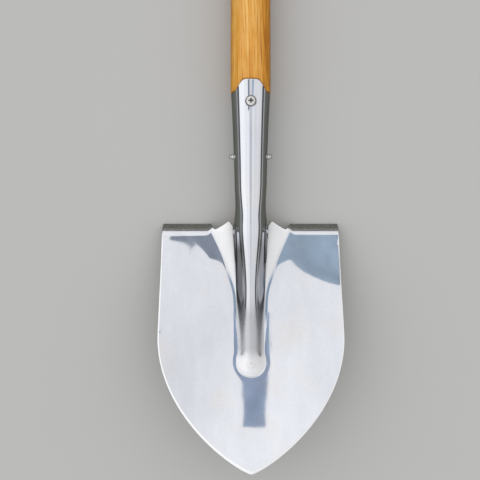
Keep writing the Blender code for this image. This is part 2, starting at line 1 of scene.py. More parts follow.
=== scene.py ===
# %% [markdown]
# # A garden shovel, seen from straight above
#
# The packed model says where every piece of the shovel is. This lesson loads it as a fixed frame
# and draws the pieces again as fine surfaces, with the satin sheet, the ground edge and the
# lacquered ash that the plain solids can't show. Every length is in metres.

# %% Load the frame
import math

import bmesh
import bpy
import numpy as np
from mathutils import Matrix, Vector


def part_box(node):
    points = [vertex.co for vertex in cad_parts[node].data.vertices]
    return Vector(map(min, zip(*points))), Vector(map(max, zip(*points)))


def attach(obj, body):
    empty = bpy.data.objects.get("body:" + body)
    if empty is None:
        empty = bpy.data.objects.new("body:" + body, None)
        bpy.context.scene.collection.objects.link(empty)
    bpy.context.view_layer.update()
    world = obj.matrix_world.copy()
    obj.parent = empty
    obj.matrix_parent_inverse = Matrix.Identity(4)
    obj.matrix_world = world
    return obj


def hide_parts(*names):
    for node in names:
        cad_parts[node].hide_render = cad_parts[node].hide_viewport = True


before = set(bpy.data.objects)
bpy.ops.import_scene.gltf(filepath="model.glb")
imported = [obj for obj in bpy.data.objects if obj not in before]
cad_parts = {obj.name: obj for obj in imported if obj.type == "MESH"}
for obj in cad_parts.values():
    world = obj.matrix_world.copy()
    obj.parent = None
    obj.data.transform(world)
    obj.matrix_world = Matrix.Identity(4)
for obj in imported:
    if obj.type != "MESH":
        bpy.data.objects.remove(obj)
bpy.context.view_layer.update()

# %% [markdown]
# ## Where the shovel lies
#
# The shovel rests on its treads and on its grip, so its shaft leans by a little less than a degree.
# All of its shapes are easier to write along the shaft: across it is x, along it is y, and out of
# the blade's front is z. The pin across the socket and the rod through the grip are both centred on
# the shaft, so the line through their two middles is the shaft's axis, and everything drawn along
# the shaft is carried into the frame with it.

# %% Find the shaft's axis
PIN_Y = 0.0748


def middle_of(node):
    """Middle of a node's box."""
    low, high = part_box(node)
    return np.array((low + high) / 2)


ALONG = middle_of("grip_rod") - middle_of("socket_rivet")
ALONG[0] = 0
ALONG /= np.linalg.norm(ALONG)
ACROSS = np.array([1.0, 0.0, 0.0])
UP = np.cross(ACROSS, ALONG)
BEND_LINE = middle_of("socket_rivet") * np.array([0, 1, 1]) - PIN_Y * ALONG
LEAN = math.atan2(ALONG[2], ALONG[1])


def lay_down(points):
    """Carries points from the shovel's directions into the frame: a turn about x, then a move."""
    return BEND_LINE + points @ np.stack([ACROSS, ALONG, UP])


print("shaft leans", round(math.degrees(LEAN), 3), "degrees from", BEND_LINE.round(5))

# %% [markdown]
# ## The camera
#
# The photograph looks straight down from about 0.7 m above the ground, with the handle pointing up
# the picture. A lens of 50 mm on a 36 mm film gives the same width of view, and the camera stands a
# little left of the shaft.

# %% Stand the camera over the shovel
CAMERA_PLACE = (-0.0106, -0.2975, 0.700)
CAMERA_LENS = 50.44

bpy.context.scene.view_settings.view_transform = "Standard"
camera_data = bpy.data.cameras.new("camera")
camera_data.sensor_width = 36.0
camera_data.lens = CAMERA_LENS
camera = bpy.data.objects.new("camera", camera_data)
camera.location = CAMERA_PLACE
bpy.context.scene.collection.objects.link(camera)
bpy.context.scene.camera = camera
print("field of view", round(math.degrees(camera_data.angle), 2), "degrees")

# %% [markdown]
# ## Writing shaders as sums
#
# The light of the room and every finish in it are nets of shader nodes. They could be linked one by
# one, but that is long and hard to read, so a small class stands for one output of a node, and a
# sum or a product of two such wires adds the Math node for it. With Python's reflected operators a
# number may stand first, as in 1 - mask.

# %% Make a wrapper for shader sockets
class Wire:
    """One output of a node. Sums, differences, products, quotients and powers of wires and numbers
    add Math nodes."""

    def __init__(self, bench, socket):
        self.bench = bench
        self.socket = socket

    def maths(self, operation, *values):
        """The output of a new Math node that does one operation on wires and numbers."""
        return self.bench.node("ShaderNodeMath", {"operation": operation}, dict(enumerate(values)))

    def __add__(self, other):
        return self.maths("ADD", self, other)

    def __radd__(self, other):
        return self.maths("ADD", other, self)

    def __sub__(self, other):
        return self.maths("SUBTRACT", self, other)

    def __rsub__(self, other):
        return self.maths("SUBTRACT", other, self)

    def __mul__(self, other):
        return self.maths("MULTIPLY", self, other)

    def __rmul__(self, other):
        return self.maths("MULTIPLY", other, self)

    def __truediv__(self, other):
        return self.maths("DIVIDE", self, other)

    def __pow__(self, other):
        return self.maths("POWER", self, other)

    def fraction(self):
        """What is left of a number above the whole number below it."""
        return self.maths("FRACT", self)

    def between(self, low, high):
        """0 below low, 1 above high and an even rise from one to the other, smooth at both ends."""
        settings = {"interpolation_type": "SMOOTHSTEP"}
        values = {"Value": self, "From Min": low, "From Max": high}
        return self.bench.node("ShaderNodeMapRange", settings, values)


print("methods of a wire:", sum(callable(method) for method in vars(Wire).values()))

# %% [markdown]
# Every other kind of node comes from a bench, which holds a node tree. One method takes the kind of
# a node, its settings, and the values or wires of its inputs. The shorter methods after it name
# what the finishes use most: a mix of two colours, a colour times a number, soft noise, and a bump.

# %% Set up a bench for nodes
MIX_FACTOR, MIX_FIRST, MIX_SECOND, MIX_RESULT = 0, 6, 7, 2
COORDINATE_OBJECT = 3
ATTRIBUTE_FACTOR = 2


class Bench:
    """A node tree, the one method that adds a node to it, and short names for common nodes."""

    def __init__(self, tree):
        self.tree = tree

    def feed(self, socket, value):
        """Links a wire to an input, or sets the input to a value."""
        if isinstance(value, Wire):
            self.tree.links.new(value.socket, socket)
        else:
            socket.default_value = value

    def node(self, kind, settings=None, values=None, output=0):
        """Adds a node: its settings first, then the values or wires of its inputs. Gives one of its
        outputs."""
        made = self.tree.nodes.new(kind)
        for name, setting in (settings or {}).items():
            if name == "stops":
                set_stops(made.color_ramp, setting)
            else:
                setattr(made, name, setting)
        for key, value in (values or {}).items():
            self.feed(made.inputs[key], value)
        return Wire(self, made.outputs[output])

    def mix(self, factor, first, second):
        """A colour between two colours, each of them a wire or three numbers."""
        first, second = (c if isinstance(c, Wire) else (*c, 1) for c in (first, second))
        values = {MIX_FACTOR: factor, MIX_FIRST: first, MIX_SECOND: second}
        return self.node("ShaderNodeMix", {"data_type": "RGBA"}, values, output=MIX_RESULT)

    def split(self, vector):
        """The three parts of a vector."""
        made = self.tree.nodes.new("ShaderNodeSeparateXYZ")
        self.feed(made.inputs[0], vector)
        return [Wire(self, made.outputs[k]) for k in range(3)]

    def scaled(self, colour, amount):
        """A colour times a number."""
        values = {0: colour, "Scale": amount}
        return self.node("ShaderNodeVectorMath", {"operation": "SCALE"}, values)

    def noise(self, place, scale, detail=2.0):
        """Soft random values around a half. A scale of three numbers draws the noise out: it is as
        fine in each direction as that direction's own number."""
        if isinstance(scale, tuple):
            values = {0: place, 1: scale}
            place = self.node("ShaderNodeVectorMath", {"operation": "MULTIPLY"}, values)
            scale = 1.0
        values = {"Vector": place, "Scale": scale, "Detail": detail}
        return self.node("ShaderNodeTexNoise", None, values)

    def bump(self, height, distance):
        """Normals that lean as if each point stood out from the surface by its height times a
        distance."""
        values = {"Height": height, "Distance": distance, "Strength": 1.0}
        return self.node("ShaderNodeBump", None, values)


def set_stops(ramp, stops):
    """Gives a colour ramp its stops, each a place from 0 to 1 and a colour."""
    while len(ramp.elements) < len(stops):
        ramp.elements.new(1.0)
    for element, (place, colour) in zip(ramp.elements, stops):
        element.position = place
        element.color = (*colour, 1)


print("methods of a bench:", [name for name in vars(Bench) if not name.startswith("__")])

# %% [markdown]
# ## The studio
#
# Satin steel has hardly any colour of its own: what one sees on it is the room. The room here is a
# plain studio under a white ceiling that is a little brighter at half height. Low down it is dark,
# so that round pieces keep their outline. The floor is pale and plain and rises into a low wall a
# long way off.
#
# The world is a function of direction alone: the angle from straight up picks a shade from a ramp.
# Straight above the ceiling is a little darker, where a camera and its stand would hang. Around
# that it is white down to the horizon, where a dark rim begins. The left of the room is brighter
# than the right, which rounds the shaft.

# %% Paint the ceiling
CEILING_STOPS = [
    (0.0, (0.80, 0.80, 0.82)),
    (0.06, (0.86, 0.86, 0.88)),
    (0.095, (1.12, 1.12, 1.12)),
    (0.14, (0.98, 0.98, 0.99)),
    (0.20, (1.0, 1.0, 1.01)),
    (0.25, (1.07, 1.07, 1.07)),
    (0.395, (1.0, 1.0, 1.0)),
    (0.410, (0.10, 0.10, 0.11)),
    (1.0, (0.10, 0.10, 0.11)),
]
FROM_LEFT = 0.20

world = bpy.data.worlds.new("studio")
world.use_nodes = True
bpy.context.scene.world = world
room = Bench(world.node_tree)
toward = room.split(room.node("ShaderNodeTexCoord"))
from_upright = toward[2].maths("ARCCOSINE", toward[2]) / math.pi
ceiling = room.node("ShaderNodeValToRGB", {"stops": CEILING_STOPS}, {0: from_upright})
from_side = 1.0 - toward[0] * FROM_LEFT
background = world.node_tree.nodes["Background"]
room.feed(background.inputs["Color"], room.scaled(ceiling, from_side))
background.inputs["Strength"].default_value = 1.0
print("nodes in the room:", len(world.node_tree.nodes))

# %% [markdown]
# The floor is one surface turned about the upright axis: a flat disc that curves up into a low
# wall. A point of it is a radius times the sine and cosine of an angle, at the height that its
# profile gives.

# %% Lay the floor
FLOOR_RADIUS = 30.0
WALL_HEIGHT = 3.4
WALL_CURVE = 2.0
FLOOR_SIDES = 96
FLOOR_RINGS = (0.001, 1, 3, 6)
CURVE_STEPS = 12
FLOOR_COLOUR = (0.53, 0.53, 0.52)


def grid_faces(rows, columns, closed=False):
    """Four-sided faces of a grid of points numbered row by row. A closed grid joins its last column
    to its first."""
    index = np.arange(rows * columns).reshape(rows, columns)
    if closed:
        index = np.hstack([index, index[:, :1]])
    corners = (index[:-1, :-1], index[:-1, 1:], index[1:, 1:], index[1:, :-1])
    return np.stack(corners, axis=-1).reshape(-1, 4)


def make_mesh(name, points, faces):
    """A new object from an array of points and a list of faces, linked to the scene."""
    mesh = bpy.data.meshes.new(name)
    whole = [tuple(dict.fromkeys(map(int, face))) for face in faces]
    mesh.from_pydata(np.asarray(points).tolist(), [], whole)
    mesh.update()
    thing = bpy.data.objects.new(name, mesh)
    bpy.context.scene.collection.objects.link(thing)
    return thing


def turned_surface(radius, height, sides):
    """A profile turned about the upright axis: x = r cos a, y = r sin a, z = h at each angle."""
    angle = np.arange(sides) / sides * math.tau
    x = radius[:, None] * np.cos(angle)
    y = radius[:, None] * np.sin(angle)
    z = np.broadcast_to(height[:, None], x.shape)
    return np.stack([x, y, z], axis=-1)


def new_finish(name):
    """A new material, its bench and its main shader."""
    material = bpy.data.materials.new(name)
    material.use_nodes = True
    return material, Bench(material.node_tree), material.node_tree.nodes["Principled BSDF"]


curve = np.linspace(0, math.pi / 2, CURVE_STEPS + 1)
curve_radius = FLOOR_RADIUS - WALL_CURVE * (1 - np.sin(curve))
curve_height = WALL_CURVE * (1 - np.cos(curve))
floor_radius = np.concatenate([FLOOR_RINGS, curve_radius, [FLOOR_RADIUS]])
floor_height = np.concatenate([np.zeros(len(FLOOR_RINGS)), curve_height, [WALL_HEIGHT]])
floor_points = turned_surface(floor_radius, floor_height, FLOOR_SIDES)
floor_faces = grid_faces(*floor_points.shape[:2], closed=True)
floor = make_mesh("floor", floor_points.reshape(-1, 3), floor_faces)
floor.data.shade_smooth()

floor_paint, _, floor_shader = new_finish("floor_paint")
floor_shader.inputs["Base Color"].default_value = (*FLOOR_COLOUR, 1)
floor_shader.inputs["Roughness"].default_value = 0.9
floor_shader.inputs["Specular IOR Level"].default_value = 0.1
floor.data.materials.append(floor_paint)
print("floor faces:", len(floor.data.polygons))

# %% [markdown]
# Satin steel under a ceiling that is white all over looks like chalk. A studio gives it depth with
# cards that the sheet mirrors beside the white. Three cool grey ones with straight edges hang
# overhead: one on each side over the treads, and a narrow one higher up, over the middle of the
# blade. A dark one lies on the floor, so that the socket's sides turn dark towards their edges and
# the tube looks round. A painted card is never quite even, so each is a little cloudy. Only mirror
# rays see the cards: they throw no shadow and show in no view.

# %% Hang the cards
CARD_HEIGHT = 0.50
MIDDLE_CARD_HEIGHT = 0.72
LOW_CARD_HEIGHT = 0.0006
LEFT_COLOUR = (0.28, 0.315, 0.375)
RIGHT_COLOUR = (0.38, 0.475, 0.58)
MIDDLE_COLOUR = (0.35, 0.43, 0.575)
LOW_COLOUR = (0.080, 0.082, 0.062)
LEFT_CARD = (
    (-0.140, -0.110),
    (-0.056, -0.110),
    (-0.056, -0.055),
    (-0.092, -0.0235),
    (-0.140, -0.010),
)
RIGHT_CARD = ((0.068, -0.105), (0.120, -0.105), (0.210, -0.015), (0.210, 0.080), (0.068, 0.080))
MIDDLE_CARD = (
    (-0.013, -0.258),
    (0.021, -0.258),
    (0.029, -0.120),
    (0.012, -0.060),
    (-0.002, -0.060),
    (-0.019, -0.120),
)
LOW_CARD = ((-0.8, -0.8), (0.8, -0.8), (0.8, 0.8), (-0.8, 0.8))
CLOUD_LOW = 0.60
CLOUD_RANGE = 0.80
CARDS = {
    "card_left": (CARD_HEIGHT, LEFT_CARD, LEFT_COLOUR, 18.0),
    "card_right": (CARD_HEIGHT, RIGHT_CARD, RIGHT_COLOUR, 18.0),
    "card_middle": (MIDDLE_CARD_HEIGHT, MIDDLE_CARD, MIDDLE_COLOUR, 30.0),
    "card_low": (LOW_CARD_HEIGHT, LOW_CARD, LOW_COLOUR, 60.0),
}


def hang_card(name, height, corners, colour, fineness):
    """A level card that glows in its own colour, so that it looks the same from everywhere. Its
    clouds are the colour times a low value plus a range times noise, whose fineness is given."""
    card = make_mesh(name, [(x, y, height) for x, y in corners], [range(len(corners))])
    card.visible_camera = False
    card.visible_diffuse = False
    card.visible_shadow = False
    paper, bench, shader = new_finish(name + "_paper")
    shader.inputs["Base Color"].default_value = (0, 0, 0, 1)
    shader.inputs["Emission Strength"].default_value = 1.0
    place = bench.node("ShaderNodeTexCoord", output=COORDINATE_OBJECT)
    cloudy = bench.scaled(colour, CLOUD_LOW + bench.noise(place, fineness) * CLOUD_RANGE)
    bench.feed(shader.inputs["Emission Color"], cloudy)
    card.data.materials.append(paper)


for name, card_values in CARDS.items():
    hang_card(name, *card_values)
print("cards:", sorted(CARDS))

# %% [markdown]
# ## The blade
#
# The head of a shovel is pressed from one sheet. The blade is dished, its sides run straight and
# then curve to the point, and a raised ridge called the frog carries the socket's stiffness on down
# the blade to a round nose. It could be drawn by pulling points about, but each of these shapes has
# a simple rule, so the sheet is a height worked out over a grid: the dish, plus the ridge, plus the
# two wings beside it.

# %% Say how the sheet runs
SHEET = 0.0020
BLADE_WIDTH = 0.1808
BLADE_LENGTH = 0.2343
BLADE_SIDE = 0.1050
POINT_FULLNESS = 0.81
DISH_DEPTH = 0.0110
DISH_START = 0.1290
TIP_RISE = 0.0070
TIP_CURVE = 2.2
BLADE_LIFT = math.radians(13.0)
AXIS_OVER_BLADE = 0.0145
HALF_WIDTH = BLADE_WIDTH / 2


def ease(share):
    """Goes from 0 to 1 with a level start and a level end: 3 s^2 - 2 s^3."""
    share = np.clip(share, 0, 1)
    return share * share * (3 - 2 * share)


def outline_y(x):
    """Where the blade's edge lies at a distance x from the middle. Its curve is
    x = half width (1 - q^2)^fullness, and q is the share of the way from the end of the straight
    side to the point."""
    share = np.clip(np.abs(x) / HALF_WIDTH, 0, 1)
    q = np.sqrt(1 - share ** (1 / POINT_FULLNESS))
    return -(BLADE_SIDE + (BLADE_LENGTH - BLADE_SIDE) * q)


def dish_height(x, y):
    """The hollow of the blade: the sides rise as x squared, and the point rises too."""
    down = np.clip(-y, 0, None)
    sides = DISH_DEPTH * ease(down / DISH_START) * (x / HALF_WIDTH) ** 2
    return sides + TIP_RISE * (down / BLADE_LENGTH) ** TIP_CURVE


def lift_blade(x, y, height):
    """Turns a place on the blade (across, along, over it) about x, by the angle between the blade
    and the shaft."""
    along = y * math.cos(BLADE_LIFT) + height * math.sin(BLADE_LIFT)
    up = -AXIS_OVER_BLADE - y * math.sin(BLADE_LIFT) + height * math.cos(BLADE_LIFT)
    return np.stack([x, along, up], axis=-1)


print("blade", BLADE_WIDTH, "wide,", BLADE_LENGTH, "long, point at", outline_y(np.array(0.0)))

# %% [markdown]
# The frog starts as the socket's own top line, so both are written together. Seen from above the
# ridge's sides taper to the nose, which is a circle, and from the side its top runs straight down
# to the nose's own height.

# %% Run the socket's line on as a ridge
RIDGE_HALF_WIDTH = 0.0163
RIDGE_NARROWING = 0.031
RIDGE_FALL = 0.029
NOSE_RADIUS = 0.0146
NOSE_CENTRE = 0.1308
NOSE_HEIGHT = 0.0055
NOSE_BLEND = 0.0040
NOSE_EASE = 0.0014
NECK_RADIUS = 0.0154
MOUTH_RADIUS = 0.0195
SOCKET_FLARE = 1.8
SOCKET_LENGTH = 0.1375


def socket_radius(y):
    """Outer radius of the socket, which flares to its mouth, and of the ridge line that runs on
    over the blade."""
    flare = (MOUTH_RADIUS - NECK_RADIUS) * (np.clip(y, 0, None) / SOCKET_LENGTH) ** SOCKET_FLARE
    return NECK_RADIUS + flare + RIDGE_FALL * np.clip(y, None, 0)


def ridge_half_width(y):
    """Half the ridge's width: a straight taper or the circle of the nose, whichever is wider, with
    the corner between the two eased."""
    taper = RIDGE_HALF_WIDTH + RIDGE_NARROWING * y
    above_nose = np.clip(y + NOSE_CENTRE, 0, NOSE_RADIUS)
    nose = np.sqrt(NOSE_RADIUS**2 - above_nose**2)
    easing = NOSE_EASE * np.clip(2 * above_nose / NOSE_RADIUS, 0, 1)
    wider = (taper + nose + np.hypot(taper - nose, easing)) / 2
    return np.where(y < -NOSE_CENTRE, NOSE_RADIUS, wider)


def ridge_height(y):
    """Height of the ridge over the blade: the socket's top line carried on, or the height of the
    nose, whichever is larger, with the change rounded over a blend length."""
    line = (socket_radius(y) + AXIS_OVER_BLADE + y * math.sin(BLADE_LIFT)) / math.cos(BLADE_LIFT)
    return (line + NOSE_HEIGHT + np.sqrt((line - NOSE_HEIGHT) ** 2 + NOSE_BLEND**2)) / 2


print("ridge height at the bend line", ridge_height(np.array(0.0)).round(4))

# %% [markdown]
# The wings are the sheet's slopes on both sides, which spread out from the ridge's foot and fade
# towards the nose. Across the ridge the section changes from a half ellipse at the neck to a soft
# bell. A press can't fold the sheet without a fillet, so all round the frog the blade rises a hair
# to meet it.

# %% Spread the wings
RIDGE_SOFTNESS = 1.2
RIDGE_SOFT_LENGTH = 0.0950
WING_REACH = 0.0235
WING_LENGTH = 0.0640
WING_HEIGHT = 0.0080
WING_SOFTNESS = 1.2
WING_TAIL = 0.12
WING_END = 1.65
FOOT_WIDTH = 0.0046
FOOT_SPREAD = 0.0180
FOOT_SPREAD_END = 0.0600
FOOT_SLOPE = 0.032
TINY = 0.000001


def wing_share(y):
    """How much of the wing is left at y: all of it at the bend line, none where it has run into the
    ridge. The straight line s from one to the other ends in a soft tail as
    (s + sqrt(s^2 + tail^2)) / 2, less that formula's own value at the wing's end."""
    left = 1 + np.minimum(y, 0) / WING_LENGTH
    end = 1 - WING_END
    tail = (end + math.hypot(end, WING_TAIL)) / 2
    return np.clip((left + np.hypot(left, WING_TAIL)) / 2 - tail, 0, None) ** WING_SOFTNESS


def past_foot(x, y):
    """How far a place lies outside the foot of the ridge and its wing: negative on them."""
    below_nose = np.clip(-NOSE_CENTRE - y, 0, None)
    reach = np.maximum(WING_REACH * wing_share(y), TINY)
    return np.hypot(np.abs(x), below_nose) - ridge_half_width(y) - reach


def frog_height(x, y):
    """Height of ridge, wings and nose over the blade. Across the ridge it is (1 - t^2)^e, where t
    is the distance from the middle in half widths and e grows from a half. A wing falls from the
    ridge's foot to the blade, and all round the frog the blade rises by a hair, as its distance
    from the foot squared, in a band that spreads towards the treads."""
    half = ridge_half_width(y)
    below_nose = np.clip(-NOSE_CENTRE - y, 0, None)
    from_middle = np.hypot(np.abs(x), below_nose)
    t = from_middle / half
    exponent = 0.5 + RIDGE_SOFTNESS * ease(-y / RIDGE_SOFT_LENGTH)
    foot = WING_HEIGHT * wing_share(y)
    ridge = foot + (ridge_height(y) - foot) * np.clip(1 - t * t, 0, 1) ** exponent
    reach = np.maximum(WING_REACH * wing_share(y), TINY)
    wing = foot * np.clip(1 - (np.abs(x) - half) / reach, 0, 1) ** WING_SOFTNESS
    width = FOOT_WIDTH + FOOT_SPREAD * (1 - ease(-y / FOOT_SPREAD_END))
    beside = np.clip(1 - past_foot(x, y) / width, 0, 1)
    return np.where(t <= 1, ridge, wing) + FOOT_SLOPE * width / 2 * beside**2


print("frog height at the bend line", frog_height(np.array(0.0), np.array(0.0)).round(4))

# %% [markdown]
# The sheet needs many small faces where it bends and few where it is flat. Its columns follow the
# ridge, the wing and the flank, and its rows lie closer round the nose. Near the edge the columns
# change over to even steps along the outline, so that no face there is long and thin.

# %% Divide the blade
RIDGE_STEPS = 30
WING_STEPS = 16
FLANK_STEPS = 34
BEND_ROWS = 10
WING_ROWS = 36
RIDGE_ROWS = 20
NOSE_ROWS = 34
POINT_ROWS = 30
BEND_ROWS_END = 0.0060
ROWS_ABOVE_NOSE = 1.5
ROWS_BELOW_NOSE = 1.1
NOSE_SKIRT = NOSE_RADIUS / 3
OUTLINE_SAMPLES = 2000


def evenly_on_outline(start, steps):
    """Distances from the middle of points that lie evenly along the blade's edge, from start to the
    side."""
    x = HALF_WIDTH * np.sin(np.linspace(0, math.pi / 2, OUTLINE_SAMPLES))
    y = outline_y(x)
    run = np.concatenate([[0], np.cumsum(np.hypot(np.diff(x), np.diff(y)))])
    first = np.interp(start, x, run)
    return np.interp(np.linspace(first, run[-1], steps + 1), run, x)


def blade_columns(y, down):
    """Distance from the middle of every column at the places y, from the ridge's top to the side.
    down is 0 at the bend line and 1 at the edge, where the columns end evenly along the outline."""
    half = ridge_half_width(y)
    flare = np.maximum(WING_REACH * wing_share(y), NOSE_SKIRT)
    ridge = np.sin(np.linspace(0, math.pi / 2, RIDGE_STEPS + 1))[None, :] * half[:, None]
    wing = half[:, None] + np.linspace(0, 1, WING_STEPS + 1)[None, 1:] * flare[:, None]
    start = half + flare
    steps = np.linspace(0, 1, FLANK_STEPS + 1)[None, 1:]
    flank = start[:, None] + steps * (HALF_WIDTH - start)[:, None]
    even = evenly_on_outline(NOSE_RADIUS + NOSE_SKIRT, FLANK_STEPS)[None, 1:]
    share = down[:, None] ** 2
    return np.hstack([ridge, wing, flank * (1 - share) + even * share])


def blade_rows():
    """Shares of the way from the bend line to the edge, closer together round the nose."""
    nose_start = NOSE_CENTRE - NOSE_RADIUS * ROWS_ABOVE_NOSE
    nose_end = NOSE_CENTRE + NOSE_RADIUS * ROWS_BELOW_NOSE
    stops = [0, BEND_ROWS_END, WING_LENGTH, nose_start, nose_end, BLADE_LENGTH]
    counts = [BEND_ROWS, WING_ROWS, RIDGE_ROWS, NOSE_ROWS, POINT_ROWS]
    parts = [np.linspace(a, b, n, endpoint=False) for a, b, n in zip(stops, stops[1:], counts)]
    return np.append(np.concatenate(parts), BLADE_LENGTH) / BLADE_LENGTH


print("rows down the blade:", len(blade_rows()))

# %% [markdown]
# The rows and columns next to the outline are pulled in from it a little, by the width that is
# ground away: a narrow strip along the sides and a wider one at the point. So the ground edge runs
# all the way round as a strip of its own.

# %% Leave a strip for the ground edge
GRIND_SIDE = 0.0013
GRIND_POINT = 0.0032
GRIND_DEPTH = 0.0011
SIDE_PULL = 1 - GRIND_SIDE / HALF_WIDTH
POINT_PULL = 1 - GRIND_POINT / BLADE_LENGTH
PULL_POWER = 4


def blade_places():
    """Across and along of every grid point of the right half, from the bend line down. The flank is
    squeezed a little towards the middle, and the last row and column are the outline itself: the
    ground strip."""
    down = blade_rows()
    middle_y = -BLADE_LENGTH * down
    x = blade_columns(middle_y, down)
    y = outline_y(x[-1])[None, :] * down[:, None]
    columns = np.arange(x.shape[1])
    flank = np.clip((columns - RIDGE_STEPS - WING_STEPS) / FLANK_STEPS, 0, 1)[None, :]
    inner_x = x * (1 - (1 - SIDE_PULL) * flank)
    inner_y = y * (1 - (1 - POINT_PULL) * down[:, None] ** PULL_POWER)
    places_x = np.hstack([inner_x, x[:, -1:]])
    places_y = np.hstack([inner_y, inner_y[:, -1:]])
    last_x = np.append(x[-1], x[-1, -1])
    last_y = np.append(y[-1], y[-1, -1])
    return np.vstack([places_x, last_x]), np.vstack([places_y, last_y])


sheet_x, sheet_y = blade_places()
print("blade grid, one half:", sheet_x.shape)

# %% [markdown]
# Above the bend line the same columns run on. Beside the ridge they stop at the socket's waist and
# at the wing's peak, then drop to a notch, and further out they turn back through almost fifty
# degrees as the treads that a boot pushes on. A bend is an arc of the tread's radius with a flat
# piece after it.

# %% Turn the treads back
TREAD_ANGLE = math.radians(48.0)
TREAD_BEND = 0.0140
TREAD_CORNER = 0.00223
TREAD_REACH = 0.01393
TREAD_START = 0.0450
NOTCH_X = 0.0360
NOTCH_RISE = 0.0025
WING_PEAK_RISE = 0.0100
WING_PEAK_X = 0.0227
WAIST_DIP = 0.0040
PEAK_CURVE = 1.3
WAIST_RISE = 0.0075
BEND_STEPS = 18
BEND_SPACING = 1.2


def tread_share(x):
    """0 beside the wing and 1 where the tread is whole."""
    return ease((x - NOTCH_X) / (TREAD_START - NOTCH_X))


def top_length(x):
    """Length of sheet above the bend line: up to the waist, a small dip, the wing's peak, the notch
    and the whole tread."""
    rise_to_peak = np.clip((x - RIDGE_HALF_WIDTH) / (WING_PEAK_X - RIDGE_HALF_WIDTH), 0, 1)
    dip = WAIST_DIP * np.sin(math.pi * np.sqrt(rise_to_peak)) ** 2
    near = WAIST_RISE + (WING_PEAK_RISE - WAIST_RISE) * rise_to_peak - dip
    fall = np.clip(1 - (x - WING_PEAK_X) / (NOTCH_X - WING_PEAK_X), 0, 1) ** PEAK_CURVE
    wing = NOTCH_RISE + (near - NOTCH_RISE) * np.where(x < WING_PEAK_X, 1, fall)
    saved = TREAD_BEND * (2 * math.tan(TREAD_ANGLE / 2) - TREAD_ANGLE)
    whole = TREAD_CORNER + TREAD_REACH - saved
    return wing + (whole - NOTCH_RISE) * tread_share(x)


def bend_back(x, y):
    """Where the bent sheet lies at a length y along it: along the blade, and back from it. It is
    straight up to the arc, turns with it, and runs on straight. The arc touches both straights, a
    tangent's length from where they would meet."""
    turn = TREAD_ANGLE * tread_share(np.abs(x))
    start = TREAD_CORNER - TREAD_BEND * np.tan(turn / 2)
    angle = np.clip((y - start) / TREAD_BEND, 0, turn)
    flat = np.clip(y - start - TREAD_BEND * turn, 0, None)
    along = np.minimum(y, start) + TREAD_BEND * np.sin(angle) + flat * np.cos(turn)
    back = TREAD_BEND * (1 - np.cos(angle)) + flat * np.sin(turn)
    return along, back


def bent_sheet(x, y):
    """A place on the sheet with its dish, its frog and its treads, in the shovel's directions."""
    along, back = bend_back(x, y)
    beside_tread = np.where(y > 0, y * (1 - tread_share(np.abs(x))), y)
    height = dish_height(x, y) + frog_height(x, beside_tread)
    return lift_blade(x, along, height - back)


top_x = np.broadcast_to(sheet_x[0], (BEND_STEPS, sheet_x.shape[1]))
top_y = ((np.arange(BEND_STEPS) + 1) / BEND_STEPS)[:, None] ** BEND_SPACING * top_length(top_x)
lower = bent_sheet(sheet_x, sheet_y)
upper = bent_sheet(top_x, top_y)
blade_half = np.vstack([lower[::-1], upper])
print("sheet rows and columns:", blade_half.shape[:2])

# %% [markdown]
# ## The socket
#
# The same sheet is rolled into a tube for the wood. Above the blade the ridge is an open channel,
# and within 35 mm it closes until its two edges almost meet at the back, where a narrow seam stays
# open. Angle and radius about the shaft's axis change from the channel's to the tube's, and in
# front the rim rises to a rounded tongue.

# %% Roll the socket
CLOSING_LENGTH = 0.0350
SEAM_GAP = 0.0008
TONGUE_RISE = 0.0107
TONGUE_TOP_ANGLE = math.radians(18.0)
TONGUE_FOOT_ANGLE = math.radians(60.0)
SOCKET_STEPS = 84
SOCKET_SPACING = 1.1


def rim_y(angle):
    """How far up the socket reaches at an angle from the front: level but for a rounded tongue."""
    side = (TONGUE_FOOT_ANGLE - np.abs(angle)) / (TONGUE_FOOT_ANGLE - TONGUE_TOP_ANGLE)
    return SOCKET_LENGTH + TONGUE_RISE * ease(side)


def socket_rows(waist):
    """The right half of the socket above its waist. Every point keeps its share of the way round
    while its angle and its radius ease from the channel to the tube."""
    start_y = waist[None, :, 1]
    start_angle = np.arctan2(waist[None, :, 0], waist[None, :, 2])
    start_radius = np.hypot(waist[None, :, 0], waist[None, :, 2])
    share = np.linspace(0, 1, waist.shape[0])[None, :]
    rise = (np.arange(SOCKET_STEPS + 1)[:, None] / SOCKET_STEPS) ** SOCKET_SPACING
    whole_angle = math.pi - SEAM_GAP / 2 / NECK_RADIUS
    y = start_y + (rim_y(share * whole_angle) - start_y) * rise
    closed = ease((y - start_y) / CLOSING_LENGTH)
    tube_angle = share * (math.pi - SEAM_GAP / 2 / socket_radius(y))
    angle = start_angle * (1 - closed) + tube_angle * closed
    radius = start_radius * (1 - closed) + socket_radius(y) * closed
    return np.stack([radius * np.sin(angle), y, radius * np.cos(angle)], axis=-1)


def both_sides(half):
    """A grid that starts at the middle, with its mirror image put before it."""
    return np.concatenate([half[:, :0:-1] * np.array([-1, 1, 1]), half], axis=1)


waist = blade_half[-1, : RIDGE_STEPS + 1]
socket_half = socket_rows(waist)
socket_half[0] = waist
print("socket rows and columns:", socket_half.shape[:2])

# %% [markdown]
# ## Giving the sheet its thickness
#
# So far the head is a surface without thickness. Blender's Solidify modifier could give it one, but
# it rounds no rim and grinds no edge. Doing it by hand takes three things first: a weld for points
# that two grids share, a normal at each point, and the border, which is made of the edges that only
# one face uses.

# %% Find normals and borders
SHEET_WELD = 0.00001


def weld(points, faces):
    """Joins points within a hair of each other. Gives the new points, faces and old numbers."""
    key = np.round(points / SHEET_WELD).astype(np.int64)
    _, first, number = np.unique(key, axis=0, return_index=True, return_inverse=True)
    return points[first], number.reshape(-1)[faces], first


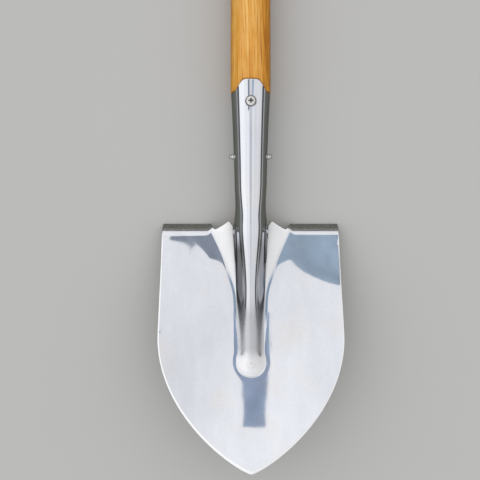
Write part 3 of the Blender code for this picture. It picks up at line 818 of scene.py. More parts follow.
def point_normals(points, faces):
    """The unit normal at each point: its faces' normals added up, longer for a larger face."""
    a, b, c, d = (points[faces[:, k]] for k in range(4))
    face_normals = np.cross(c - a, d - b)
    total = np.zeros_like(points)
    for k in range(4):
        np.add.at(total, faces[:, k], face_normals)
    return total / np.linalg.norm(total, axis=1, keepdims=True)


def border_of(faces):
    """Directed edges that only one face uses."""
    edges = np.concatenate([faces[:, [k, (k + 1) % 4]] for k in range(4)])
    size = edges.max() + 1
    forward = edges[:, 0] * size + edges[:, 1]
    backward = edges[:, 1] * size + edges[:, 0]
    return edges[~np.isin(forward, backward)]


square = np.array([[0.0, 0.0, 0.0], [1.0, 0.0, 0.0], [1.0, 1.0, 0.0], [0.0, 1.0, 0.0]])
print("normal of a level square:", point_normals(square, np.array([[0, 1, 2, 3]]))[0])

# %% [markdown]
# The back is the same surface moved two millimetres against its own normals. Along the open border
# the two are joined by a rim with rounded corners, and on the ground strip the front is lowered
# first, which leaves the thin bright bevel of a sharpened blade.

# %% Thicken a surface
EDGE_ROUND = 0.0006
RIM_PROFILE = ((0.2929, 0.2929), (0.0, 1.0))


def thicken(points, faces, thickness, lowered):
    """A closed solid from an open surface. The front is lowered by a length at each point, the back
    lies a whole thickness under the surface, and five rows of faces round the border from one to
    the other, through places that the rim's profile gives as shares of the rounding."""
    normals = point_normals(points, faces)
    border = border_of(faces)
    count = len(points)
    tangent = points[border[:, 1]] - points[border[:, 0]]
    outward = np.zeros_like(points)
    for k in range(2):
        np.add.at(outward, border[:, k], np.cross(tangent, normals[border[:, k]]))
    on_border = np.unique(border)
    length = np.linalg.norm(outward[on_border], axis=1, keepdims=True)
    outward[on_border] /= length
    left = (thickness - lowered)[on_border, None]
    edge_round = np.minimum(EDGE_ROUND, left / 3)
    front = points - normals * lowered[:, None]
    back = points - normals * thickness
    front_edge = front[on_border].copy()
    back_edge = back[on_border].copy()
    away = outward[on_border]
    up = normals[on_border]
    front[on_border] -= away * edge_round
    back[on_border] -= away * edge_round
    in_share, down_share = away * edge_round, up * edge_round
    rows = [front_edge - in_share * a - down_share * b for a, b in RIM_PROFILE]
    rows += [back_edge - in_share * a + down_share * b for a, b in reversed(RIM_PROFILE)]
    place = np.full(count, -1)
    place[on_border] = np.arange(len(on_border))
    rings = [border]
    rings += [place[border] + 2 * count + k * len(on_border) for k in range(len(rows))]
    rings.append(border + count)
    pairs = zip(rings, rings[1:])
    sides = [np.stack([a[:, 1], a[:, 0], b[:, 0], b[:, 1]], axis=-1) for a, b in pairs]
    all_points = np.concatenate([front, back, *rows])
    return all_points, np.concatenate([faces, faces[:, ::-1] + count, *sides])


blade_whole = both_sides(blade_half)
socket_whole = both_sides(socket_half)
blade_count = blade_whole.shape[0] * blade_whole.shape[1]
sheet_points = np.concatenate([blade_whole.reshape(-1, 3), socket_whole.reshape(-1, 3)])
blade_faces, socket_faces = (grid_faces(*grid.shape[:2]) for grid in (blade_whole, socket_whole))
sheet_faces = np.concatenate([blade_faces, socket_faces + blade_count])
ground = np.zeros(blade_whole.shape[:2])
ground[0] = 1
ground[: sheet_x.shape[0], [0, -1]] = 1
ground = np.concatenate([ground.reshape(-1), np.zeros(len(sheet_points) - blade_count)])
print("sheet points:", len(sheet_points))

# %% [markdown]
# A blade is ground most at its point. The bevel starts below the treads, keeps less than half
# its depth along the sides, and deepens towards the point from a little above half way down. The
# two grids are welded where the socket's first row lies on the blade's last, and the whole is
# thickened at once.

# %% Make the head
GRIND_SIDE_SHARE = 0.4
GRIND_START = 0.03
GRIND_DEEPENS = 0.45

way_down = -sheet_points[:, 1] / BLADE_LENGTH
deeper = ease(way_down * 2 - GRIND_DEEPENS * 2)
grind_share = GRIND_SIDE_SHARE + (1 - GRIND_SIDE_SHARE) * deeper
lowered = GRIND_DEPTH * ground * grind_share * ease(-sheet_points[:, 1] / GRIND_START)

welded, welded_faces, kept = weld(sheet_points, sheet_faces)
head_points, head_faces = thicken(welded, welded_faces, SHEET, lowered[kept])
head = make_mesh("head_sheet", lay_down(head_points), head_faces)
print("head faces:", len(head.data.polygons))

# %% [markdown]
# The finish isn't the same all over. The edge is ground. Painted shade darkens the fold between
# ridge and wing and the ridge's flanks. The wings are painted brighter as a painted highlight, the
# corner where they meet the ridge is painted darker as painted shade, and a narrow band round the
# frog's foot gets a blue-grey painted reflection. Soil rubs the ridge dull above its nose, and
# boots dull the treads. Where each of these lies is worked out on the same grid as the sheet and
# stored with its points, for the steel's material to read. The fold's painted shade thins out as
# exp(-(distance / width)^2), the darker corner as exp(-distance / reach).

# %% Mark the sheet for its finish
FOLD_WIDTH = 0.0014
FLANK_SHADE_FROM, FLANK_SHADE_RISE = 0.42, 0.2
CROWN_SHADE = 0.12
FLANK_SHADE_START, FLANK_SHADE_END = (0.004, 0.016), (0.092, 0.030)
RUB_START, RUB_END = (0.066, 0.024), (0.130, 0.012)
WING_INSIDE, WING_OUTSIDE = 0.003, 0.002
CORNER_SHADE_REACH = 0.0055
BOOT_MARGIN, BOOT_FADE = 0.0004, 0.0008
FAR = 0.010


def add_values(thing, name, values):
    """Stores one number a point under a name that a material can read."""
    attribute = thing.data.attributes.new(name, "FLOAT", "POINT")
    attribute.data.foreach_set("value", np.asarray(values, dtype=np.float32))


def mark_head(name, blade_values, elsewhere=0.0):
    """Stores a value for every point of the head. The blade's half grid is mirrored; the socket and
    the back get one value, and the rim takes that of the border it stands on."""
    whole = np.concatenate([blade_values[:, :0:-1], blade_values], axis=1).reshape(-1)
    front = np.concatenate([whole, np.full(len(sheet_points) - blade_count, elsewhere)])[kept]
    rim = np.tile(front[np.unique(border_of(welded_faces))], 2 * len(RIM_PROFILE))
    add_values(head, name, np.concatenate([front, np.full_like(front, elsewhere), rim]))


def length_of_ridge(start, end):
    """1 on the ridge between two distances below the bend line and 0 elsewhere. Each end is given
    with the length over which it fades in."""
    after_start = ease((-grid_y - start[0]) / start[1])
    before_end = ease((end[0] + grid_y) / end[1])
    return (from_fold <= 0) * after_start * before_end


grid_x = np.vstack([sheet_x[::-1], top_x])
grid_y = np.vstack([sheet_y[::-1], top_y])
ground_half = ground[:blade_count].reshape(blade_whole.shape[:2])[:, blade_half.shape[1] - 1 :]
from_fold = grid_x - ridge_half_width(grid_y)
from_foot = past_foot(grid_x, grid_y)
up_flank = ease((grid_x / ridge_half_width(grid_y) - FLANK_SHADE_FROM) / FLANK_SHADE_RISE)
corner = np.exp(-np.abs(from_fold) / CORNER_SHADE_REACH) * (from_fold > 0)
arc_start = TREAD_CORNER - TREAD_BEND * math.tan(TREAD_ANGLE / 2)
on_flat = ease((grid_y - arc_start) / (TREAD_BEND * TREAD_ANGLE))
from_edge = ease((top_length(grid_x) - grid_y - BOOT_MARGIN) / BOOT_FADE)
mark_head("ground", ground_half * ease(-grid_y / GRIND_START))
# Painted shade: a dark line along the fold between ridge and wing.
mark_head("fold", np.exp(-((from_fold / FOLD_WIDTH) ** 2)) * wing_share(grid_y))
# Painted shade on the ridge's flanks, most up the flank and a little on the crown.
film = CROWN_SHADE + (1 - CROWN_SHADE) * up_flank
mark_head("film", film * length_of_ridge(FLANK_SHADE_START, FLANK_SHADE_END))
mark_head("rubbed", length_of_ridge(RUB_START, RUB_END))
# Painted highlight: the wings are painted brighter.
mark_head("wing", ease(from_fold / WING_INSIDE) * ease(-from_foot / WING_OUTSIDE))
# Painted shade: the wing's corner next to the ridge.
mark_head("corner", corner * wing_share(grid_y))
mark_head("past_foot", np.clip(from_foot, -FAR, FAR), FAR)
mark_head("along", np.clip(-grid_y, 0, None))
mark_head("scuffed", tread_share(grid_x) * on_flat * from_edge)
stored = [a.name for a in head.data.attributes if (a.data_type, a.domain) == ("FLOAT", "POINT")]
print("marks:", stored)

# %% [markdown]
# ## The wooden shaft
#
# The handle is one piece of ash. Its lower end is tapered into the socket, it stands flush with the
# steel at the socket's rim, and at the far end it is sawn in two and steamed apart into a Y. Up to
# the crotch it is round, so a radius for each place along it says it all.

# %% Say how thick the wood is
WOOD_FIT = 0.0004
SHAFT_RADIUS = 0.0200
THROAT_RADIUS = 0.0180
SHAFT_END_RADIUS = 0.0075
SHAFT_END_Y = -0.0180
SNUG_FROM = 0.0605
CROTCH_Y = 0.6650


def wood_radius(y):
    """Radius of the wood inside the socket: the socket's taper less the sheet and the fit, then a
    blunt taper."""
    snug = socket_radius(np.maximum(y, SNUG_FROM)) - SHEET - WOOD_FIT
    share = np.clip((y - SHAFT_END_Y) / (SNUG_FROM - SHAFT_END_Y), 0, 1)
    return SHAFT_END_RADIUS + (snug - SHAFT_END_RADIUS) * share


def shaft_radius(y):
    """Radius of the shaft above the socket, which slims down towards the throat of the Y."""
    share = (y - SOCKET_LENGTH) / (CROTCH_Y - SOCKET_LENGTH)
    return SHAFT_RADIUS + (THROAT_RADIUS - SHAFT_RADIUS) * ease(share)


print("radius above the rim and in the socket:", SHAFT_RADIUS, wood_radius(SOCKET_LENGTH).round(4))

# %% [markdown]
# Beyond the crotch each half section is a curve that is written once: a half disc that changes into
# a rounded bar as the tines spread, with a slightly crowned inner side. The other half is its
# mirror image.

# %% Part the tines
GRIP_Y = 0.7900
GRIP_SPAN = 0.0960
TINE_THICKNESS = 0.0150
TINE_SQUARENESS = 0.65
TINE_CROWN = 0.0015
TINE_CORNER = 0.0016
TINE_EYE_RADIUS = 0.0155
CORNER_START, CORNER_POWER = 5, 6
CROWN_START, CROWN_END = 4, 3
ROUND_STEPS = 40
FLAT_STEPS = 14

round_angle = np.linspace(0, math.pi, ROUND_STEPS + 1)
flat_side = np.linspace(1, -1, FLAT_STEPS + 1)


def spread_share(y):
    """How far the two tines have parted at y: 0 up to the crotch, 1 beside the grip."""
    return ease((y - CROTCH_Y) / (GRIP_Y - TINE_EYE_RADIUS - CROTCH_Y))


def tine_section(y, height, end_pull):
    """Half a shaft's section at y: the outer side as x = inner + (outer - inner) sin(a)^roundness
    and z = h cos(a), then the inner side, crowned and with its two corners rounded. Crown and
    corners start from nothing as the tines part, and are whole after a quarter and a fifth of the
    parting. end_pull draws both sides in at the eye's end."""
    share = spread_share(y)
    inner = GRIP_SPAN / 2 * share + end_pull
    outer = THROAT_RADIUS + (GRIP_SPAN / 2 + TINE_THICKNESS - THROAT_RADIUS) * share - end_pull
    roundness = 1 - TINE_SQUARENESS * share
    corner = TINE_CORNER * ease(CORNER_START * share)
    sides = np.sin(round_angle) ** roundness
    outer_x = inner + corner + (outer - inner - corner) * sides
    arc = np.stack([outer_x, np.full_like(round_angle, y), height * np.cos(round_angle)], axis=-1)
    parting = ease(CROWN_START * share) * ease(CROWN_END * (1 - share))
    crown = TINE_CROWN * parting * (1 - flat_side**2)
    rounding = corner * np.abs(flat_side) ** CORNER_POWER
    inner_x = inner + rounding - crown
    flat = np.stack([inner_x, np.full_like(flat_side, y), -height * flat_side], axis=-1)
    return arc, flat


eye_arc, eye_flat = tine_section(GRIP_Y, TINE_EYE_RADIUS, 0.0)
print("points in a tine's section:", len(eye_arc) + len(eye_flat))

# %% [markdown]
# The shaft's rows follow one another: the blunt taper in the socket, the snug part, a small step
# out to the steel's own radius just above the rim, the bare shaft, the throat, and the round eyes
# that the grip's rod goes through. An eye closes like the edge of a coin, with its corners rounded.

# %% Lay the shaft's rows
EYE_REACH = 0.0143
EYE_CORNER = 0.0022
RIM_GAP = 0.0008
RIM_CHAMFER = 0.0006
SOCKET_ROWS = 9
STRAIGHT_ROWS = 40
THROAT_ROWS = 44
EYE_ROWS = 14


def shaft_rows():
    """Rows of the outer side from the wood's end to the eye, and of the inner side from the crotch
    on. A row is a place y and a radius r for every angle a, as x = r sin a and z = r cos a, up to
    the crotch."""
    sin, cos = np.sin(round_angle), np.cos(round_angle)
    rim = rim_y(round_angle)
    loose = np.linspace(SHAFT_END_Y, SNUG_FROM, SOCKET_ROWS)
    snug = np.linspace(SNUG_FROM, SOCKET_LENGTH, SOCKET_ROWS)[1:-1]
    places = [(np.full_like(round_angle, y), wood_radius(y)) for y in (*loose, *snug)]
    places.append((rim + RIM_GAP, wood_radius(rim)))
    places.append((rim + RIM_GAP, np.full_like(round_angle, SHAFT_RADIUS - RIM_CHAMFER)))
    places.append((rim + RIM_GAP + RIM_CHAMFER, np.full_like(round_angle, SHAFT_RADIUS)))
    straight = np.linspace(SOCKET_LENGTH + 2 * TONGUE_RISE, CROTCH_Y, STRAIGHT_ROWS + 1)[:-1]
    places += [(np.full_like(round_angle, y), shaft_radius(y)) for y in straight]
    outer = [np.stack([r * sin, y, r * cos], axis=-1) for y, r in places]
    inner = []
    for y in np.linspace(CROTCH_Y, GRIP_Y, THROAT_ROWS + 1):
        up_throat = ease((y - CROTCH_Y) / (GRIP_Y - CROTCH_Y))
        height = THROAT_RADIUS + (TINE_EYE_RADIUS - THROAT_RADIUS) * up_throat
        arc, flat = tine_section(y, height, 0.0)
        outer.append(arc)
        inner.append(flat)
    for lean in np.linspace(0, math.pi / 2, EYE_ROWS + 1)[1:]:
        left = EYE_REACH * (1 - math.sin(lean))
        pull = EYE_CORNER - math.sqrt(max(EYE_CORNER**2 - max(EYE_CORNER - left, 0) ** 2, 0))
        height = max(TINE_EYE_RADIUS * math.cos(lean), TINY)
        arc, flat = tine_section(GRIP_Y + EYE_REACH * math.sin(lean), height, pull)
        outer.append(arc)
        inner.append(flat)
    return np.array(outer), np.array(inner)


print("rows of the shaft:", [len(rows) for rows in shaft_rows()])

# %% [markdown]
# The rows become faces, the half becomes a whole with its mirror image, and welding the two along
# the middle leaves one closed solid. A mirror image is inside out, so its faces are reversed, and
# one call makes sure of it for every piece that is welded in this lesson.

# %% Join the shaft's halves
SHAFT_WELD = 0.00001
SHORTEST_EDGE = 0.000001


def heal(thing, reach, shortest=None):
    """Joins points of a piece that lie within reach, takes out faces with an edge under the
    shortest length, and turns every face outwards."""
    shape = bmesh.new()
    shape.from_mesh(thing.data)
    bmesh.ops.remove_doubles(shape, verts=shape.verts, dist=reach)
    if shortest:
        bmesh.ops.dissolve_degenerate(shape, edges=shape.edges, dist=shortest)
    bmesh.ops.recalc_face_normals(shape, faces=shape.faces)
    shape.to_mesh(thing.data)
    shape.free()
    return thing


def make_shaft():
    """The shaft as one closed mesh: a half from its rows, its mirror image, and both welded along
    the middle. Each point stores how far it lay from the shaft's middle before the tines were
    parted, because their grain bends with them."""
    outer, inner = shaft_rows()
    outer_count = outer.shape[0] * outer.shape[1]
    points = np.concatenate([outer.reshape(-1, 3), inner.reshape(-1, 3), [[0, SHAFT_END_Y, 0]]])
    faces = grid_faces(*outer.shape[:2]).tolist()
    faces += (grid_faces(*inner.shape[:2]) + outer_count).tolist()
    middle = len(points) - 1
    faces += [(middle, k + 1, k) for k in range(ROUND_STEPS)]
    mirrored = points * np.array([-1, 1, 1])
    faces += [tuple(len(points) + k for k in reversed(face)) for face in faces]
    both = np.concatenate([points, mirrored])
    thing = make_mesh("shaft_wood", lay_down(both), faces)
    before = both[:, 0] - np.sign(both[:, 0]) * GRIP_SPAN / 2 * spread_share(both[:, 1])
    add_values(thing, "before_parting", before)
    return heal(thing, SHAFT_WELD, SHORTEST_EDGE)


shaft = make_shaft()
print("shaft faces:", len(shaft.data.polygons))

# %% [markdown]
# ## The turned pieces
#
# The grip, the rod, the pins and the washers are all made on a lathe, and a lathe is one line of
# code: a profile of radii and heights, carried round an axis. Each profile here is a closed curve
# or ends on the axis, so that every piece is solid, and its corners are arcs, because no turned
# corner is perfectly sharp.

# %% Turn a profile about an axis
LATHE_SIDES = 64
LATHE_WELD = 0.000002
DOME_STEPS = 12
DOME_FULLNESS = 0.8
DOME_ROUNDING = 0.12


def arc_points(middle, radius, start, end, steps=6):
    """Points of an arc as radius and height pairs, from one angle to another."""
    angle = np.radians(np.linspace(start, end, steps + 1))
    return middle + radius * np.stack([np.cos(angle), np.sin(angle)], axis=-1)


def lathe(name, profile, axis, place):
    """Turns a profile (rows of radius and height) about an axis through a place in the shovel's own
    directions. The profile runs so that the solid lies on its left; a first or last radius of
    nothing closes the piece."""
    profile = np.asarray(profile, dtype=float)
    points = turned_surface(profile[:, 0], profile[:, 1], LATHE_SIDES).reshape(-1, 3)
    turn = np.array(Vector((0, 0, 1)).rotation_difference(Vector(axis)).to_matrix())
    faces = grid_faces(len(profile), LATHE_SIDES, closed=True)
    return heal(make_mesh(name, lay_down(points @ turn.T + place), faces), LATHE_WELD)


def washer_profile(outer, inner, thickness, rounding):
    """A flat ring's section, closed on itself, with its outer corners rounded."""
    low = arc_points((outer - rounding, rounding), rounding, -90, 0)
    high = arc_points((outer - rounding, thickness - rounding), rounding, 0, 90)
    return np.concatenate([[(inner, 0)], low, high, [(inner, thickness), (inner, 0)]])


def pin_profile(shank, head, height, half):
    """A rivet with a domed head at each end: shank radius, head radius and height, half the length
    between heads. A dome's radius is the head's times cos(a)^fullness while its height grows as
    sin(a)."""
    angle = np.linspace(0, math.pi / 2, DOME_STEPS + 1)
    rounding = DOME_ROUNDING * height
    dome_z = half + rounding + (height - rounding) * np.sin(angle)
    dome_r = head * np.cos(angle) ** DOME_FULLNESS
    dome = np.stack([dome_r, dome_z], axis=-1)
    top = np.concatenate([[(shank, half), (head - rounding, half)], dome])
    top[-1, 0] = 0
    bottom = top[::-1] * np.array([1, -1])
    return np.concatenate([bottom, top])


print("lathe ready,", LATHE_SIDES, "sides")

# %% [markdown]
# The crossbar is a barrel of ash between the tines. Its ends are eased so that they don't bite the
# hand, and the steel rod through it is riveted over a washer on each side.

# %% Turn the grip
GRIP_RADIUS = 0.0145
GRIP_SWELL = 0.0002
GRIP_ROUNDING = 0.0016
BARREL_STEPS = 40
SEAT_GAP = 0.0003
BORE_GAP = 0.0003
ROD_RADIUS = 0.0030
SIDEWAYS = (1.0, 0.0, 0.0)

grip_half = GRIP_SPAN / 2 - SEAT_GAP
bore = ROD_RADIUS + BORE_GAP
barrel = np.linspace(-1, 1, BARREL_STEPS + 1) * (grip_half - GRIP_ROUNDING)
barrel_radius = GRIP_RADIUS + GRIP_SWELL * np.cos(barrel / grip_half * math.pi / 2)
end_middle = (GRIP_RADIUS - GRIP_ROUNDING, -grip_half + GRIP_ROUNDING)
end_arc = arc_points(end_middle, GRIP_ROUNDING, -90, 0)
grip_profile = np.concatenate(
    [
        [(bore, -grip_half)],
        end_arc,
        np.stack([barrel_radius, barrel], axis=-1),
        end_arc[::-1] * np.array([1, -1]),
        [(bore, grip_half), (bore, -grip_half)],
    ]
)
grip = lathe("grip_wood", grip_profile, SIDEWAYS, (0, GRIP_Y, 0))
print("grip faces:", len(grip.data.polygons))

# %% [markdown]
# A pin, its two heads and its two washers are the same shapes three times over, so one table holds
# their sizes: how far out the surface is that the washers lie on, and radius and height of a head
# and of a washer. Pins stand in their bores with a small gap all round, and the heads a gap above
# the washers.

# %% Turn the pins and the washers
THROAT_RIVET_Y = 0.6510
SOCKET_WASHER_RADIUS = 0.0027
WASHER_ROUNDING = 0.2
FASTENINGS = {
    "grip_rod": {
        "washer": "grip_washer",
        "surface": GRIP_SPAN / 2 + TINE_THICKNESS,
        "y": GRIP_Y,
        "shank": ROD_RADIUS,
        "head": (0.0058, 0.0028),
        "ring": (0.0085, 0.0014),
    },
    "throat_rivet": {
        "washer": "throat_washer",
        "surface": float(shaft_radius(THROAT_RIVET_Y)),
        "y": THROAT_RIVET_Y,
        "shank": 0.0025,
        "head": (0.0045, 0.0024),
        "ring": (0.0065, 0.0012),
    },
    "socket_rivet": {
        "washer": "socket_washer",
        "surface": float(socket_radius(PIN_Y + SOCKET_WASHER_RADIUS)),
        "y": PIN_Y,
        "shank": 0.0014,
        "head": (0.0022, 0.0022),
        "ring": (SOCKET_WASHER_RADIUS, 0.0018),
    },
}

steel_pieces = {}
for pin, sizes in FASTENINGS.items():
    ring_radius, ring_thickness = sizes["ring"]
    half_between = sizes["surface"] + ring_thickness + 2 * SEAT_GAP
    profile = pin_profile(sizes["shank"], *sizes["head"], half_between)
    steel_pieces[pin] = lathe(pin + "_steel", profile, SIDEWAYS, (0, sizes["y"], 0))
    rounding = WASHER_ROUNDING * ring_thickness
    ring = washer_profile(ring_radius, sizes["shank"] + BORE_GAP, ring_thickness, rounding)
    for side, sign in (("left", -1), ("right", 1)):
        node = f"{sizes['washer']}_{side}"
        place = (sign * (sizes["surface"] + SEAT_GAP), sizes["y"], 0)
        steel_pieces[node] = lathe(node + "_steel", ring, (sign, 0, 0), place)
print("steel pieces:", sorted(steel_pieces))

# %% [markdown]
# The screw in the tongue has a domed head with a cross recess. Its top is a height over a disc: a
# dome, lowered inside the cross by an amount that eases from nothing to the full depth at the edges
# of the slots.

# %% Draw the screw's rings
SCREW_RADIUS = 0.0021
SCREW_LENGTH = 0.0240
SCREW_HEAD_RADIUS = 0.0050
SCREW_HEAD_HEIGHT = 0.0026
SCREW_RIM = 0.0005
RECESS_WIDTH = 0.0011
RECESS_SPAN = 0.0048
RECESS_DEPTH = 0.0014
RECESS_WALL = 0.00016
RECESS_DISH = 0.35
UNDER_HEAD = 0.0004
HEAD_CHAMFER = 0.0003
THREAD_ROWS = 60
THREAD_TURNS = 14
THREAD_DEPTH = 0.1
TAPER = 5
RIM_SHADE_FROM, RIM_SHADE_RISE = 0.90, 0.1
SCREW_RINGS = 40
SCREW_SPOKES = 128


def screw_points():
    """Rings of the screw from its head's middle out, round the rim, under the head and down the
    shank to the point, and how much painted shade each point gets: inside the cross recess and on
    the dome's outer rim. The head's top is a height over a disc, h = rim + rise sqrt(1 - r^2),
    mixed with the recess's floor by how far a place lies inside the cross. The thread is a ripple
    of the shank's radius, r (1 - depth cos^2 a)."""
    ring = np.sin(np.linspace(0, math.pi / 2, SCREW_RINGS))[:, None] * SCREW_HEAD_RADIUS
    spoke = np.arange(SCREW_SPOKES)[None, :] / SCREW_SPOKES * math.tau
    x = ring * np.cos(spoke)
    y = ring * np.sin(spoke)
    outward = ring / SCREW_HEAD_RADIUS
    dome = SCREW_RIM + (SCREW_HEAD_HEIGHT - SCREW_RIM) * np.sqrt(1 - outward**2)
    long_bar = np.maximum(np.abs(x) - RECESS_SPAN / 2, np.abs(y) - RECESS_WIDTH / 2)
    cross_bar = np.maximum(np.abs(y) - RECESS_SPAN / 2, np.abs(x) - RECESS_WIDTH / 2)
    inside = ease(0.5 - np.minimum(long_bar, cross_bar) / RECESS_WALL)
    dish = RECESS_DISH * (np.hypot(x, y) / (RECESS_SPAN / 2)) ** 2
    recess_floor = SCREW_HEAD_HEIGHT - RECESS_DEPTH * (1 - dish)
    z = dome * (1 - inside) + np.minimum(recess_floor, dome) * inside + SEAT_GAP
    top = np.stack([x, y, z], axis=-1)
    thread = np.linspace(0, 1, THREAD_ROWS)
    ripple = 1 - THREAD_DEPTH * np.cos(thread * math.tau * THREAD_TURNS) ** 2
    shank = np.minimum(SCREW_RADIUS, SCREW_RADIUS * (1 - thread) * TAPER) * ripple
    under = [SCREW_HEAD_RADIUS, SCREW_HEAD_RADIUS - UNDER_HEAD]
    radius = np.concatenate([under, shank[:-1], [TINY]])[:, None]
    depth = SEAT_GAP - thread * (SCREW_LENGTH + SEAT_GAP)
    height = np.concatenate([[SEAT_GAP + HEAD_CHAMFER, SEAT_GAP], depth])[:, None]
    tail = np.stack([radius * np.cos(spoke), radius * np.sin(spoke), height + 0 * spoke], axis=-1)
    # Painted shade: the cross recess and the dome's outer rim are marked to be painted dark.
    rim_shade = ease((outward - RIM_SHADE_FROM) / RIM_SHADE_RISE)
    hollow = np.concatenate([np.maximum(inside, rim_shade), 0 * tail[..., 0]])
    return np.concatenate([top, tail]), hollow


print("rings and spokes of the screw:", screw_points()[0].shape[:2])

# %% [markdown]
# The screw stands square to the steel. The socket flares, so its front leans by the slope of its
# radius there, and the screw leans back by the same angle.

# %% Stand the screw in the tongue
SCREW_Y = 0.1268
SCREW_WELD = 0.000003

socket_slope = (MOUTH_RADIUS - NECK_RADIUS) * SOCKET_FLARE / SOCKET_LENGTH
SCREW_TILT = math.atan(socket_slope * (SCREW_Y / SOCKET_LENGTH) ** (SOCKET_FLARE - 1))


def make_screw():
    """Stands the screw on the socket's front, square to the sheet."""
    points, hollow = screw_points()
    turn = np.array(Matrix.Rotation(SCREW_TILT, 3, "X"))
    place = np.array([0, SCREW_Y, float(socket_radius(SCREW_Y))])
    faces = grid_faces(points.shape[0], SCREW_SPOKES, closed=True)
    thing = make_mesh("screw_steel", lay_down(points.reshape(-1, 3) @ turn.T + place), faces)
    add_values(thing, "hollow", hollow.reshape(-1))
    return heal(thing, SCREW_WELD)


steel_pieces["tongue_screw"] = make_screw()
print("screw faces:", len(steel_pieces["tongue_screw"].data.polygons))

# %% [markdown]
# ## The satin sheet
#
# The blade is stainless sheet with a satin polish. A mirror would be wrong, and so would plain
# grey: the polish leaves hair-fine lines, the press leaves slow waves that bend what the sheet
# mirrors, and handling leaves faint smears and duller or warmer patches. All of it goes into
# colour, roughness and a bump of a few hundredths of a millimetre. The finishes read places in the
# shovel's own directions, so that a pattern runs along the shaft.

# %% Find a place on the shovel
def shovel_place(bench):
    """Object coordinates turned back into the shovel's own directions: y runs along the shaft."""
    place = bench.node("ShaderNodeTexCoord", output=COORDINATE_OBJECT)
    shift = Matrix.Rotation(-LEAN, 3, "X") @ Vector(-BEND_LINE)
    values = {"Vector": place, "Location": tuple(shift), "Rotation": (-LEAN, 0, 0)}
    return bench.node("ShaderNodeMapping", {"vector_type": "POINT"}, values)


def mark(bench, name):
    """A value that was stored with the points."""
    return bench.node("ShaderNodeAttribute", {"attribute_name": name}, output=ATTRIBUTE_FACTOR)


print("finishes lean back by", round(math.degrees(-LEAN), 3), "degrees")

# %% [markdown]
# A few colours and bands belong to the steel. Metal shows its colour in what it mirrors, so clean
# steel is pale, and painted shade is dark. A thin ring of painted shade lies round the screw's
# head: it is where the distance from the screw's middle is a little more than its radius.

# %% Set the steel's colours and bands
STEEL_COLOUR = (0.735, 0.755, 0.80)
WARM_COLOUR = (0.77, 0.745, 0.735)
GROUND_COLOUR = (0.93, 0.93, 0.93)
WING_HIGHLIGHT_COLOUR = (0.785, 0.785, 0.79)
PAINTED_SHADE_COLOUR = (0.10, 0.085, 0.065)
FLANK_SHADE_COLOUR = (0.16, 0.16, 0.165)
BLUE_REFLECTION_COLOUR = (0.25, 0.32, 0.41)
SCUFF_COLOUR = (0.68, 0.68, 0.67)
STEEL_TONE = 0.785
SATIN = 0.035
FOOT_BAND = 0.0028
BAND_FADE = 0.0005
BAND_START, BAND_END = (0.036, 0.054), (0.080, 0.098)
LEFT_FLANK_SHADE = (0.014, 0.028)
RING_INSIDE = (SCREW_HEAD_RADIUS - 0.0006, SCREW_HEAD_RADIUS)
RING_OUTSIDE = (SCREW_HEAD_RADIUS + 0.0003, SCREW_HEAD_RADIUS + 0.0011)
STEEL_RELIEF = 0.0005


def screw_ring_shade(bench, place):
    """1 on the thin ring of painted shade round the screw's head: a ring about its middle, on
    the front."""
    x, y, z = bench.split(place)
    beside = y - SCREW_Y
    from_screw = (x * x + beside * beside) ** 0.5
    ring = from_screw.between(*RING_INSIDE) * (1.0 - from_screw.between(*RING_OUTSIDE))
    return ring * z.between(0, 0.01)


print("clean steel mirrors", round(sum(STEEL_COLOUR) / 3 * STEEL_TONE, 2), "of the light")
